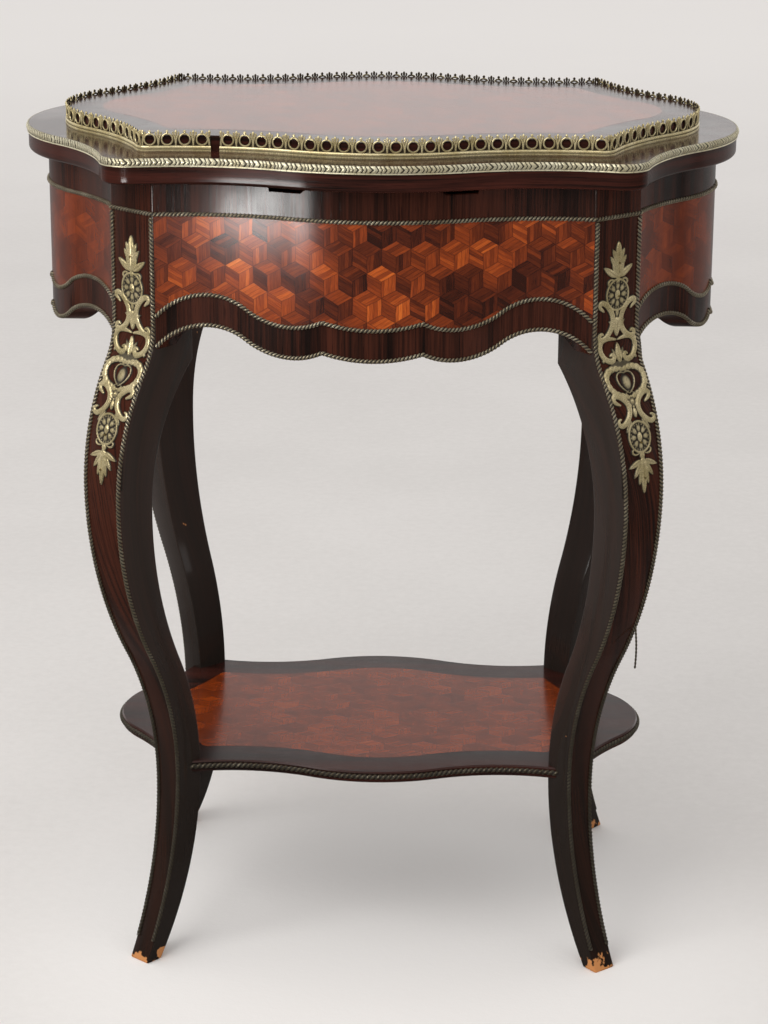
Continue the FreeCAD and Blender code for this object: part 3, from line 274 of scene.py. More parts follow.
def leg_inner(height):
    """Inner face of a leg, opposite the outer one."""
    foot = foot_curve(height, -55, 300.0)
    radius = 175.8
    knee = 2.5 - radius + np.sqrt(np.maximum(radius ** 2 - (height - INNER_KNEE) ** 2, 0))
    return np.select(
        [height >= INNER_SHOULDER, height >= INNER_KNEE, height >= ANKLE],
        [-43 + 0 * height, knee, double_curve(height, INNER_KNEE, 2.5, ANKLE, -55, 0.569)], foot)


def leg_half_width(height):
    """Half of the outer face's width, on one arc through 11 at the floor, 16.2 at 250 and 25 at 543."""
    (ax, ay), (bx, by), (cx, cy) = (11.0, 0.0), (16.2, 250.0), (25.0, INNER_SHOULDER)
    twice = 2 * (ax * (by - cy) + bx * (cy - ay) + cx * (ay - by))
    squares = [ax ** 2 + ay ** 2, bx ** 2 + by ** 2, cx ** 2 + cy ** 2]
    across = (squares[0] * (by - cy) + squares[1] * (cy - ay) + squares[2] * (ay - by)) / twice
    level = (squares[0] * (cx - bx) + squares[1] * (ax - cx) + squares[2] * (bx - ax)) / twice
    radius = math.hypot(ax - across, ay - level)
    height = np.minimum(height, INNER_SHOULDER)
    return across - np.sqrt(radius ** 2 - (height - level) ** 2)


def leg_place(corner, out, aside, height):
    """Points of a leg from its own axes: out from the face's upright plane, aside, and up."""
    flip = np.array(CORNERS[corner], float)
    ahead, left = LEG_OUT * flip, np.array([-LEG_OUT[1] * flip[1], LEG_OUT[0] * flip[0]])
    out, aside, height = np.broadcast_arrays(out, aside, height)
    plan = LEG_FACE * flip + out[..., None] * ahead + aside[..., None] * left
    return np.concatenate([plan, height[..., None]], -1)


# ---- Meshes ----


class Skin:
    """Sheets of points gathered into the mesh of one piece."""

    def __init__(self):
        self.points, self.corners, self.sizes, self.places, self.levels = [], [], [], [], []
        self.count = 0

    def keep(self, points, faces, places, level):
        """Points, faces as rows of their numbers, UV places of the faces' corners, and the points' level."""
        points = points.reshape(-1, 3)
        self.points.append(points)
        self.corners.append((faces + self.count).ravel())
        self.sizes.append(np.full(faces.reshape(-1, faces.shape[-1]).shape[0], faces.shape[-1]))
        self.places.append(places.reshape(-1, 2))
        self.levels.append(np.broadcast_to(np.ravel(level), points.shape[:1]))
        self.count += len(points)

    def sheet(self, points, places, round_rows=False, round_columns=False, level=1.0, turned=False):
        """A grid of points and their UV places, closed round its rows, its columns or both.

        Closed ways may have one more place than points. A face looks along (next column) x (next row), or
        away from it if turned.
        """
        rows, columns = points.shape[:2]
        if round_rows and len(places) == rows:
            places = np.concatenate([places, places[:1]])
        if round_columns and places.shape[1] == columns:
            places = np.concatenate([places, places[:, :1]], axis=1)
        i = np.arange(rows - (not round_rows))[:, None]
        j = np.arange(columns - (not round_columns))[None, :]
        steps = ((0, 0), (0, 1), (1, 1), (1, 0))[::-1 if turned else 1]
        faces = np.stack([((i + a) % rows) * columns + (j + b) % columns for a, b in steps], -1)
        corners = np.stack([places[i + a, j + b] for a, b in steps], -2)
        self.keep(points, faces, corners, level)

    def fan(self, ring, centre, places, middle, turned=False, level=1.0):
        """A closed ring of points filled to its centre. It faces the side it runs anticlockwise from."""
        count = len(ring)
        first = np.arange(count)
        last = (first + 1) % count
        faces = np.stack([first, last, np.full(count, count)], -1)
        ring_places = np.concatenate([places, np.array(middle, float)[None]])
        if turned:
            faces = faces[:, ::-1]
        points = np.concatenate([ring, np.array(centre, float)[None]])
        self.keep(points, faces, ring_places[faces], level)

    def ends(self, points, places, middles, level=1.0):
        """Both ends of a tube closed. Its sections are the points' columns, and the middles their places."""
        for column, turned in ((0, False), (-1, True)):
            self.fan(points[:, column], points[:, column].mean(axis=0), places[:, column],
                     middles[column], turned=turned, level=level)

    def piece(self, name, body, finish, node=None, weld=None, crease=38.0):
        """The piece as an object that rides on a body and stands for the CAD node named."""
        mesh = bpy.data.meshes.new(name)
        points = np.concatenate(self.points) * MM
        corners, sizes = np.concatenate(self.corners), np.concatenate(self.sizes)
        mesh.vertices.add(len(points))
        mesh.vertices.foreach_set("co", points.astype(np.float32).ravel())
        mesh.loops.add(len(corners))
        mesh.loops.foreach_set("vertex_index", corners.astype(np.int32))
        mesh.polygons.add(len(sizes))
        mesh.polygons.foreach_set("loop_start", (np.cumsum(sizes) - sizes).astype(np.int32))
        mesh.update(calc_edges=True)
        layer = mesh.uv_layers.new(name="UVMap")
        layer.data.foreach_set("uv", np.concatenate(self.places).astype(np.float32).ravel())
        level = mesh.attributes.new("level", "FLOAT", "POINT")
        level.data.foreach_set("value", np.concatenate(self.levels).astype(np.float32))
        if weld:
            work = bmesh.new()
            work.from_mesh(mesh)
            bmesh.ops.remove_doubles(work, verts=work.verts, dist=weld * MM)
            open_edges = [edge for edge in work.edges if edge.is_boundary]
            if open_edges:
                bmesh.ops.holes_fill(work, edges=open_edges, sides=0)
            work.to_mesh(mesh)
            work.free()
        mesh.polygons.foreach_set("use_smooth", np.ones(len(mesh.polygons), bool))
        mesh.set_sharp_from_angle(angle=math.radians(crease))
        mesh.materials.append(material_of(finish))
        made = link(name, mesh)
        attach(made, body)
        if node:
            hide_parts(node)


def link(name, data):
    """An object in the scene."""
    made = bpy.data.objects.new(name, data)
    bpy.context.scene.collection.objects.link(made)
    return made


def board_sheet(skin, outline, profile, grain="x"):
    """Closed skin of a board: its profile of (inset, height) steps swept round an outline.

    The first and last steps are filled to the board's middle, so a profile runs from the underside out,
    up and back in over the top. The grain runs along UV's second axis.
    """
    rings = [outline.loop(inset)[0] for inset, _ in profile]
    heights = np.array([height for _, height in profile])
    points = np.stack([np.column_stack([ring, np.full(len(ring), height)])
                       for ring, height in zip(rings, heights)])
    closed = np.concatenate([points, points[:, :1]], axis=1)
    wrapped = closed[..., ::-1][..., 1:] * MM if grain == "x" else closed[..., :2] * MM
    edge = (heights > heights[0]) & (heights < heights.max())
    run = np.linalg.norm(np.diff(closed[0, :, :2], axis=0), axis=1)
    around = np.concatenate([[0], np.cumsum(run)])
    on_edge = np.stack(np.broadcast_arrays(heights[:, None], around[None]), -1) * MM
    wrapped = np.where(edge[:, None, None], on_edge, wrapped)
    level = np.broadcast_to(np.where(edge, 0.0, 1.0)[:, None], points.shape[:2])
    skin.sheet(points, wrapped, round_columns=True, level=level)
    for index, turned in ((0, True), (-1, False)):
        middle = points[index] * (0.5, 0.5, 1.0)
        ring = wrapped[index][:-1]
        skin.sheet(np.stack([points[index], middle]), np.stack([ring, ring * 0.5]), round_columns=True,
                   turned=turned)
        skin.fan(middle, (0.0, 0.0, heights[index]), ring * 0.5, (0.0, 0.0), turned=turned)


def wall_sheet(skin, side, across, steps):
    """Closed skin of a wall: its section of (inset, heights along) steps swept along a side.

    Its last 38 mm are drawn in with the inset, so that every line of it ends inside the leg.
    """
    outer_span = SPANS[kind_of(side)][0]
    straight = outer_span - 38
    size = np.abs(across)
    rows, places = [], []
    for inset, heights in steps:
        share = (wall_span(side, inset) + 0.5 - straight) / (outer_span + 0.5 - straight)
        beyond = np.maximum(size - straight, 0) * share
        run = np.sign(across) * (np.minimum(size, straight) + beyond)
        plan, _ = wall_points(side, run, inset)
        heights = np.broadcast_to(heights, across.shape)
        rows.append(np.column_stack([plan, heights]))
        places.append(np.column_stack([run, heights]) * MM)
    rows, places = np.stack(rows), np.stack(places)
    skin.sheet(rows, places, round_rows=True)
    skin.ends(rows, places, places.mean(axis=0))


def rope_sheet(skin, path, outward, radius, lay, closed=False):
    """Two-strand twisted cord round a path.

    Round its centre line the radius is R(1 - k + k cos 2(a - b)), where a is the angle round the cord and
    b = 2 pi s / lay, so the two strands turn once in each lay.
    """
    sides, strand = 10, 0.2
    if closed:
        tangent = np.roll(path, -1, axis=0) - np.roll(path, 1, axis=0)
    else:
        tangent = np.gradient(path, axis=0)
    tangent /= np.linalg.norm(tangent, axis=1, keepdims=True)
    aside = np.cross(outward, tangent)
    aside /= np.linalg.norm(aside, axis=1, keepdims=True)
    outward = np.cross(tangent, aside)
    gaps = np.linalg.norm(np.diff(path, axis=0), axis=1)
    run = along = np.concatenate([[0], np.cumsum(gaps)])
    if closed:
        total = run[-1] + np.linalg.norm(path[0] - path[-1])
        lay, along = total / round(total / lay), np.append(run, total)
    angle = (np.arange(sides) * 2 * np.pi / sides)[:, None]
    wave = np.cos(2 * (angle - 2 * np.pi * run[None] / lay))
    reach = radius * (1 - strand + strand * wave)
    points = path + reach[..., None] * (np.cos(angle)[..., None] * outward
                                        + np.sin(angle)[..., None] * aside)
    around = np.arange(sides + 1) * 2 * np.pi * radius / sides
    places = np.stack(np.broadcast_arrays(around[:, None], along[None]), -1) * MM
    # painted shade with patina: the gaps between the strands get low levels and take the dark hollow colour
    skin.sheet(points, places, round_rows=True, round_columns=closed, level=(wave + 1) / 2)
    if not closed:
        skin.ends(points, places[:-1], places[0], 0.4)


# ---- Node building ----


def linear(red, green, blue):
    """Linear colour of a screen colour given in steps of 255."""
    return tuple(((value / 255 + 0.055) / 1.055) ** 2.4 for value in (red, green, blue)) + (1.0,)


class Value:
    """A node's output, so that sums of outputs and numbers are written as sums."""

    def __init__(self, tree, socket):
        self.tree, self.socket = tree, socket

    def __add__(self, other):
        return self.tree.maths("ADD", self, other)

    def __sub__(self, other):
        return self.tree.maths("SUBTRACT", self, other)

    def __rsub__(self, other):
        return self.tree.maths("SUBTRACT", other, self)

    def __mul__(self, other):
        return self.tree.maths("MULTIPLY", self, other)

    def __truediv__(self, other):
        return self.tree.maths("DIVIDE", self, other)


class Tree:
    """Short calls for building a node tree."""

    def __init__(self, tree):
        self.tree = tree

    def feed(self, sockets, values):
        """Each named socket gets its value: a link from a node's output, or else a constant."""
        for name, value in dict(values).items():
            if isinstance(value, Value):
                self.tree.links.new(value.socket, sockets[name])
            else:
                sockets[name].default_value = value

    def node(self, kind, inputs=(), **settings):
        made = self.tree.nodes.new(kind)
        for name, value in settings.items():
            setattr(made, name, value)
        self.feed(made.inputs, inputs)
        return made

    def value(self, kind, inputs=(), output=0, **settings):
        return Value(self, self.node(kind, inputs, **settings).outputs[output])

    def outputs(self, node):
        return {socket.name: Value(self, socket) for socket in node.outputs}

    def group(self, group, inputs):
        return self.outputs(self.node("ShaderNodeGroup", inputs, node_tree=group))

    def maths(self, operation, first, second=0.0, third=0.0):
        return self.value("ShaderNodeMath", {0: first, 1: second, 2: third}, operation=operation)

    def least(self, first, *others):
        for other in others:
            first = self.maths("MINIMUM", first, other)
        return first

    def most(self, first, *others):
        for other in others:
            first = self.maths("MAXIMUM", first, other)
        return first

    def vector(self, operation, first, second=(0.0, 0.0, 0.0)):
        output = "Value" if operation in ("DOT_PRODUCT", "LENGTH") else "Vector"
        return self.value("ShaderNodeVectorMath", {0: first, 1: second}, output, operation=operation)

    def split(self, vector):
        return list(self.outputs(self.node("ShaderNodeSeparateXYZ", {0: vector})).values())

    def join(self, x=0.0, y=0.0, z=0.0):
        return self.value("ShaderNodeCombineXYZ", {0: x, 1: y, 2: z})

    def noise(self, vector, scale, detail=3.0, roughness=0.55, distortion=0.0):
        return self.value("ShaderNodeTexNoise", {
            "Vector": vector, "Scale": scale, "Detail": detail, "Roughness": roughness,
            "Distortion": distortion}, "Fac")

    def scatter(self, vector):
        return self.value("ShaderNodeTexWhiteNoise", {"Vector": vector}, "Value", noise_dimensions="3D")

    def span(self, value, low, high, to_low=0.0, to_high=1.0):
        """Smooth step from one value to another while the input goes from low to high."""
        return self.value("ShaderNodeMapRange", {
            "Value": value, "From Min": low, "From Max": high, "To Min": to_low, "To Max": to_high},
            clamp=True, interpolation_type="SMOOTHSTEP")

    def mix(self, share, first, second):
        return self.value("ShaderNodeMix", {0: share, 6: first, 7: second}, 2, data_type="RGBA")

    def ramp(self, value, *stops):
        made = self.node("ShaderNodeValToRGB", {0: value})
        points = made.color_ramp.elements
        while len(points) < len(stops):
            points.new(0.5)
        for point, (place, colour) in zip(points, stops):
            point.position, point.color = place, colour
        return Value(self, made.outputs["Color"])

    def bump(self, height, distance, strength):
        return self.value("ShaderNodeBump", {"Height": height, "Distance": distance,
                                             "Strength": strength})

    def uv(self):
        return self.value("ShaderNodeUVMap")

    def spot(self):
        return self.value("ShaderNodeTexCoord", output="Object")

    def level(self):
        return self.value("ShaderNodeAttribute", output="Fac", attribute_name="level")


FLOAT, COLOUR, VECTOR = "NodeSocketFloat", "NodeSocketColor", "NodeSocketVector"


def new_group(name, inputs, outputs):
    """An empty node group, what it is given and what it puts out, by name."""
    group = bpy.data.node_groups.new(name, "ShaderNodeTree")
    for label, kind, value in inputs:
        socket = group.interface.new_socket(label, in_out="INPUT", socket_type=kind)
        if value is not None:
            socket.default_value = value
    for label, kind in outputs:
        group.interface.new_socket(label, in_out="OUTPUT", socket_type=kind)
    tree = Tree(group)
    return tree, tree.outputs(tree.node("NodeGroupInput")), tree.node("NodeGroupOutput").inputs


# edge of a cube of the parquetry, and how many strips of veneer each of its faces is laid from
CUBE_EDGE, CUBE_STRIPS = 0.0135, 3.7


def cube_group():
    """Tumbling cubes of parquetry.

    In the plane, p = edge (a e90 + b e210 + c e330) with a + b + c = 0. Moving along (1, 1, 1) to the
    stepped surface of unit cubes makes one of a, b, c whole, which names the face, and leaves the other two
    as places across and along its strips.
    """
    tree, given, made = new_group("Tumbling cubes", (
        ("Vector", VECTOR, None), ("Edge", FLOAT, CUBE_EDGE)), (
        ("Cube Tone", FLOAT), ("Face Tone", FLOAT), ("Strip Tone", FLOAT), ("Joint", FLOAT),
        ("Across", FLOAT), ("Along", FLOAT)))
    x, y, _ = tree.split(given["Vector"])
    scale = tree.maths("DIVIDE", 2 / 3, given["Edge"])
    whole = tree.join(*((x * math.cos(math.radians(turn)) + y * math.sin(math.radians(turn))) * scale
                        for turn in (90, 210, 330)))
    rest = tree.vector("FRACTION", whole)
    a, b, c = tree.split(rest)
    most, total = tree.most(a, b, c), a + (b + c)
    middle = total - most - tree.least(a, b, c)
    many = tree.maths("GREATER_THAN", total, 1.5)
    shift = many * middle + (1.0 - many) * most
    moved = tree.vector("ADD", tree.vector("SUBTRACT", rest, tree.join(shift, shift, shift)),
                        (1.0, 1.0, 1.0))
    near = tree.split(tree.vector("FRACTION", moved))
    facing = tree.join(*(tree.maths("COMPARE", part, shift, 0.0001) for part in (a, b, c)))
    cell = tree.vector("ADD", tree.vector("FLOOR", whole), tree.vector("FLOOR", moved))
    cube = tree.vector("SUBTRACT", tree.vector("ADD", cell, (0.5, 0.5, 0.5)), facing)
    across = tree.vector("DOT_PRODUCT", facing, tree.join(near[2], near[0], near[1]))
    along = tree.vector("DOT_PRODUCT", facing, tree.join(near[1], near[2], near[0]))

    def tagged(scale):
        return tree.vector("ADD", cube, tree.vector("MULTIPLY", facing, scale))

    strip = tree.join(tree.maths("FLOOR", across * CUBE_STRIPS), 0.0, 0.0)
    tree.feed(made, {
        "Cube Tone": tree.scatter(cube),
        "Face Tone": (tree.vector("DOT_PRODUCT", facing, (0.7, 0.2, 0.5)) * 0.35
                      + tree.scatter(tagged((0.13, 0.29, 0.41))) * 0.65),
        "Strip Tone": tree.scatter(tree.vector("ADD", tagged((0.31, 0.17, 0.53)), strip)),
        "Joint": tree.span(tree.least(across, 1.0 - across, along, 1.0 - along), 0.012, 0.045, 1.0, 0.0),
        "Across": across, "Along": along})
    return tree.tree


def grain_group():
    """Streaks of wood that run along the second axis: slow bands, fine lines and short pores."""
    tree, given, made = new_group("Wood grain", (
        ("Vector", VECTOR, None), ("Spread", FLOAT, 1.0)), (
        ("Bands", FLOAT), ("Lines", FLOAT), ("Pores", FLOAT), ("Cloud", FLOAT)))
    x, y, z = tree.split(given["Vector"])
    x, z = x / given["Spread"], z / given["Spread"]

    def drawn(across, along):
        return tree.join(x * across, y * along, z * across)

    tree.feed(made, {
        "Bands": tree.noise(drawn(70.0, 3.0), 1.0, 3.0, 0.5, 0.4),
        "Lines": tree.noise(drawn(420.0, 7.0), 1.0, 4.0, 0.6, 0.2),
        "Pores": tree.span(tree.noise(drawn(1500.0, 45.0), 1.0, 2.0, 0.5), 0.58, 0.7),
        "Cloud": tree.noise(given["Vector"], 9.0, 3.0)})
    return tree.tree


def metal_group():
    """Gilt or dulled brass: bright on its crests, brown in its hollows, with stains over both. The brown of
    the hollows is partly patina and partly painted shade.
    """
    tree, given, made = new_group("Worn brass", (
        ("Vector", VECTOR, None), ("Level", FLOAT, 1.0), ("Bright", COLOUR, None),
        ("Dull", COLOUR, None), ("Hollow", COLOUR, None), ("Wear", FLOAT, 0.5)), (
        ("Colour", COLOUR), ("Roughness", FLOAT), ("Metal", FLOAT), ("Height", FLOAT)))
    stain = tree.noise(given["Vector"], 60.0, 4.0, 0.6)
    speck = tree.noise(given["Vector"], 900.0, 3.0, 0.6)
    # low levels take the hollow colour: patina in the hollows, and painted shade there
    crest = tree.span(given["Level"], 0.25, 0.85)
    top = tree.mix(tree.span(stain + given["Wear"] * 0.5, 0.45, 0.95), given["Bright"], given["Dull"])
    pitted = tree.span(speck, 0.54, 0.66) * 0.6
    tree.feed(made, {
        "Colour": tree.mix(pitted, tree.mix(crest, given["Hollow"], top), given["Hollow"]),
        "Roughness": tree.span(crest, 0.0, 1.0, 0.6, 0.2) + speck * 0.14,
        "Metal": tree.span(crest, 0.0, 1.0, 0.15, 0.62),
        "Height": speck * 0.6 + stain * 0.4})
    return tree.tree


def new_material(name):
    """A material, the tree to build on and the inputs of its Principled shader."""
    material = bpy.data.materials.new(name)
    material.use_nodes = True
    material.node_tree.nodes.clear()
    tree = Tree(material.node_tree)
    shader = tree.node("ShaderNodeBsdfPrincipled")
    tree.node("ShaderNodeOutputMaterial", {"Surface": Value(tree, shader.outputs[0])}, target="ALL")
    return material, tree, shader.inputs


LEAF_WIDTH = 0.037
PORE, SHADED, LOWER_DARK = (0.004, 0.002, 0.002, 1.0), (0.034, 0.027, 0.0235, 1.0), (0.0125, 0.0095, 0.0075, 1.0)
DUST, BARE_WOOD = linear(150, 140, 125), linear(188, 128, 78)


def leg_wear_and_shade(tree, colour, rough):
    """Colour and roughness of a leg, from those of its veneer.

    The sides, which have level 0, are greyer and darker than the outer face, which has level 1: painted
    shade, as the sides take less light. The lower part is blacker. The feet are worn bare at their tips, and
    dust lies along the front right one.
    """
    # painted shade: the sides of the leg, level 0, are mixed towards a dark grey shade colour
    colour = tree.mix(tree.level(), tree.mix(0.82, colour, SHADED), colour)
    spot = tree.spot()
    aside, ahead, height = tree.split(spot)
    # darker towards the bottom: below about 0.42 m the leg is mixed towards a near-black
    colour = tree.mix(tree.span(height, 0.12, 0.42, 0.72, 0.0), colour, LOWER_DARK)
    low = tree.span(height, 0.0, 0.026, 0.34, 0.0)
    bare = tree.span(low + tree.noise(spot, 60.0, 4.0, 0.6), 0.74, 0.78)
    by_foot = tree.span(height, 0.11, 0.19, 1.0, 0.0) * tree.span(aside - ahead, 0.37, 0.41)
    dust = by_foot * tree.span(tree.noise(spot, 420.0, 5.0, 0.7), 0.53, 0.62)
    colour = tree.mix(bare, tree.mix(dust * 0.3, colour, DUST), BARE_WOOD)
    return colour, rough + tree.most(bare, dust) * 0.4


def veneer(name, grain, dark, red, haze=0.1, leaves=0.0, leg=False, flat=False):
    """Dark veneer with red streaks under a polish that has dulled in patches.

    The polish of upright wood is weakest in the middle of the front, and that of flat boards along the
    lid's front border. Leaves of veneer may differ in tone.
    """
    material, tree, shader = new_material(name)
    wood = tree.group(grain, {"Vector": tree.uv(), "Spread": 1.0})
    leaf = tree.scatter(tree.join(tree.maths("FLOOR", tree.split(tree.uv())[0] / LEAF_WIDTH), 0.3, 0.7))
    streak = wood["Bands"] * 0.5 + wood["Lines"] * 0.5 + (leaf - 0.5) * leaves
    between = tuple(0.5 * d + 0.5 * r for d, r in zip(dark, red))
    colour = tree.ramp(tree.span(streak, 0.36, 0.64), (0.0, dark), (0.5, between), (1.0, red))
    colour = tree.mix(wood["Pores"] * 0.6, colour, PORE)
    rough = wood["Cloud"] * 0.10 + 0.12
    if leg:
        colour, rough = leg_wear_and_shade(tree, colour, rough)
    spot = tree.spot()
    aside, ahead, height = tree.split(spot)
    if flat:
        kept = tree.most(tree.span(ahead, -0.17, -0.08, 0.42, 1.0), tree.span(height, 0.7305, 0.732))
    else:
        kept = tree.span(tree.maths("ABSOLUTE", aside), 0.045, 0.10, 0.35, 1.0)
    patches = tree.noise(spot, 7.0, 4.0, 0.6) + wood["Lines"] * 0.25
    tree.feed(shader, {
        "Base Color": colour, "Roughness": rough,
        "Coat Weight": tree.span(patches, 0.5, 0.74, 1.0, 0.7 if flat else 0.25) * kept,
        "Coat Roughness": haze, "Specular IOR Level": 0.08,
        "Normal": tree.bump(wood["Lines"] * 0.5 - wood["Pores"], 0.00006, 0.5)})
    return material


def parquetry(name, cubes, haze, contrast=1.0, level=0.0, streak=0.0, stretch=(1.0, 1.0), right_shade=0.0):
    """Tumbling cube parquetry in orange, red-brown and dark woods under polish, bold or faded.

    A streak is a patchy tone, as often along each axis as stretch says. A painted shade darkens the right
    side, which the lamps light less.
    """
    material, tree, shader = new_material(name)
    place = tree.uv()
    wobble = tree.value("ShaderNodeTexNoise", {"Vector": place, "Scale": 55.0, "Detail": 2.0}, "Color")
    shifted = tree.vector("ADD", tree.vector("ADD", place, (0.0160, 0.0117, 0.0)), tree.vector(
        "MULTIPLY", tree.vector("SUBTRACT", wobble, (0.5, 0.5, 0.5)), (0.0020, 0.0020, 0.0)))
    cube = tree.group(cubes, {"Vector": shifted, "Edge": CUBE_EDGE})
    thread = tree.noise(tree.join(cube["Across"] * 26.0, cube["Along"] * 1.6, cube["Cube Tone"] * 40.0),
                        1.0, 4.0, 0.65)
    tone = (cube["Cube Tone"] * 0.34 + cube["Face Tone"] * 0.40 + cube["Strip Tone"] * 0.24
            + (thread - 0.5) * 0.55 + (tree.noise(place, 13.0, 3.0) - 0.5) * 0.35)
    tone = (tone - 0.5) * contrast + (0.5 + level)
    # painted shade: the tone darkens towards +x, where less light falls on the panel
    if right_shade:
        tone = tone - tree.split(tree.spot())[0] * right_shade
    if streak:
        x, y, _ = tree.split(place)
        patch = tree.noise(tree.join(x * stretch[0], y * stretch[1]), 1.0, 5.0, 0.65)
        tone = tone + (patch - 0.5) * streak
    colour = tree.ramp(tone, (0.05, linear(50, 19, 9)), (0.3, linear(96, 37, 11)),
                       (0.52, linear(142, 58, 13)), (0.74, linear(192, 90, 22)),
                       (0.98, linear(234, 138, 48)))
    strip = tree.maths("FRACT", cube["Across"] * CUBE_STRIPS)
    line = tree.span(tree.least(strip, 1.0 - strip), 0.02, 0.13, 0.4 * contrast, 0.0)
    colour = tree.mix(line, colour, linear(48, 18, 9))
    tree.feed(shader, {
        "Base Color": tree.mix(cube["Joint"] * (0.45 * contrast), colour, linear(36, 14, 8)),
        "Roughness": thread * 0.12 + 0.16, "Coat Weight": 1.0, "Coat Roughness": haze,
        "Specular IOR Level": 0.1,
        "Normal": tree.bump(thread * 0.3 - (cube["Joint"] + cube["Strip Tone"] * 0.2), 0.00008, 0.5)})
    return material


def brass(name, group, bright, dull, hollow, wear, plain=False, floor_darkening=0.0):
    """Brass, worn and stained, dark in the hollows that the piece's level values name, with patina and
    painted shade there, unless the piece is plain.

    A darkening towards the floor mixes the brass towards its hollow colour low down.
    """
    material, tree, shader = new_material(name)
    spot = tree.spot()
    metal = tree.group(group, {"Vector": spot, "Level": 0.8 if plain else tree.level(), "Bright": bright,
                               "Dull": dull, "Hollow": hollow, "Wear": wear})
    # darker towards the floor: mixed towards the hollow colour below about 0.55 m
    near_floor = tree.span(tree.split(spot)[2], 0.15, 0.55, floor_darkening, 0.0)
    tree.feed(shader, {
        "Base Color": tree.mix(near_floor, metal["Colour"], hollow), "Roughness": metal["Roughness"],
        "Metallic": metal["Metal"], "Normal": tree.bump(metal["Height"], 0.00025, 0.7)})
    return material


def plain_wood(name, grain, pale, brown, gloss):
    """Bare or stained softwood of the inside, its grain along x."""
    material, tree, shader = new_material(name)
    x, y, z = tree.split(tree.spot())
    wood = tree.group(grain, {"Vector": tree.join(y, x, z), "Spread": 1.6})
    streak = wood["Bands"] * 0.6 + wood["Lines"] * 0.4
    colour = tree.mix(tree.span(streak, 0.38, 0.62), pale, brown)
    tree.feed(shader, {
        "Base Color": tree.mix(wood["Pores"] * 0.5, colour, brown),
        "Roughness": wood["Cloud"] * 0.2 + gloss, "Normal": tree.bump(wood["Lines"], 0.0001, 0.5)})
    return material


def mirror_glass(name):
    """Silvered glass with faint clouding and foxing."""
    material, tree, shader = new_material(name)
    place = tree.spot()
    spots = tree.span(tree.noise(place, 160.0, 4.0, 0.7), 0.66, 0.74)
    tree.feed(shader, {
        "Base Color": tree.mix(spots * 0.6, (0.82, 0.84, 0.83, 1.0), linear(120, 105, 80)),
        "Roughness": tree.span(tree.noise(place, 14.0, 4.0), 0.5, 0.9, 0.02, 0.12) + spots * 0.3,
        "Metallic": 1.0})
    return material


# screen colours of each brass: bright, dull and hollow, where the hollow colour is patina with painted
# shade, then its wear and the rest of what brass() takes
BRASSES = {
    "gilt": ("gilt_brass", (255, 240, 190), (214, 194, 134), (48, 35, 15), 0.25, {}),
    "bronze": ("dull_brass", (206, 196, 170), (146, 134, 108), (40, 34, 26), 0.6, {"floor_darkening": 0.75}),
    "cast": ("cast_brass", (244, 228, 182), (196, 180, 130), (34, 26, 16), 0.4, {}),
    "rim": ("rim_brass", (255, 248, 216), (222, 208, 164), (40, 32, 18), 0.2, {}),
    "hinge": ("hinge_brass", (196, 164, 96), (140, 112, 62), (60, 44, 22), 0.4, {"plain": True}),
    "steel": ("steel", (176, 176, 172), (120, 118, 114), (50, 48, 46), 0.4, {"plain": True}),
    "pins": ("pin_brass", (170, 152, 100), (110, 96, 62), (40, 32, 20), 0.5, {"plain": True}),
}


def all_materials():
    """Every material of the table, by the name it is asked for."""
    grain, cubes, metal = grain_group(), cube_group(), metal_group()
    dark, red = linear(24, 15, 12), linear(68, 35, 25)
    made = {
        "leg": veneer("leg_veneer", grain, dark, red, leg=True),
        "wall": veneer("wall_veneer", grain, dark, red, 0.2, leaves=0.16),
        "board": veneer("board_veneer", grain, dark, linear(66, 32, 25), 0.17, leaves=0.05, flat=True),
        "cubes": parquetry("cube_parquetry", cubes, 0.26, level=-0.12, right_shade=0.5),
        "end_cubes": parquetry("end_cube_parquetry", cubes, 0.26, 0.32, -0.18, 0.42, (55.0, 16.0)),
        "flat_cubes": parquetry("flat_cube_parquetry", cubes, 0.16, 0.34, -0.07, 0.3, (14.0, 70.0)),
        "stained": plain_wood("stained_wood", grain, linear(58, 30, 20), linear(34, 18, 13), 0.28),
        "plain": plain_wood("plain_wood", grain, linear(168, 124, 78), linear(122, 82, 48), 0.5),
        "mirror": mirror_glass("mirror"),
    }
    for finish, (name, *colours, wear, more) in BRASSES.items():
        made[finish] = brass(name, metal, *(linear(*colour) for colour in colours), wear, **more)
    return made


# the materials of the table, by the name of their finish
MATERIALS = {}


def material_of(name):
    """A material by the name of its finish. All of them are made at the first call."""
    if not MATERIALS:
        MATERIALS.update(all_materials())
    return MATERIALS[name]


# ---- Pieces of the case ----


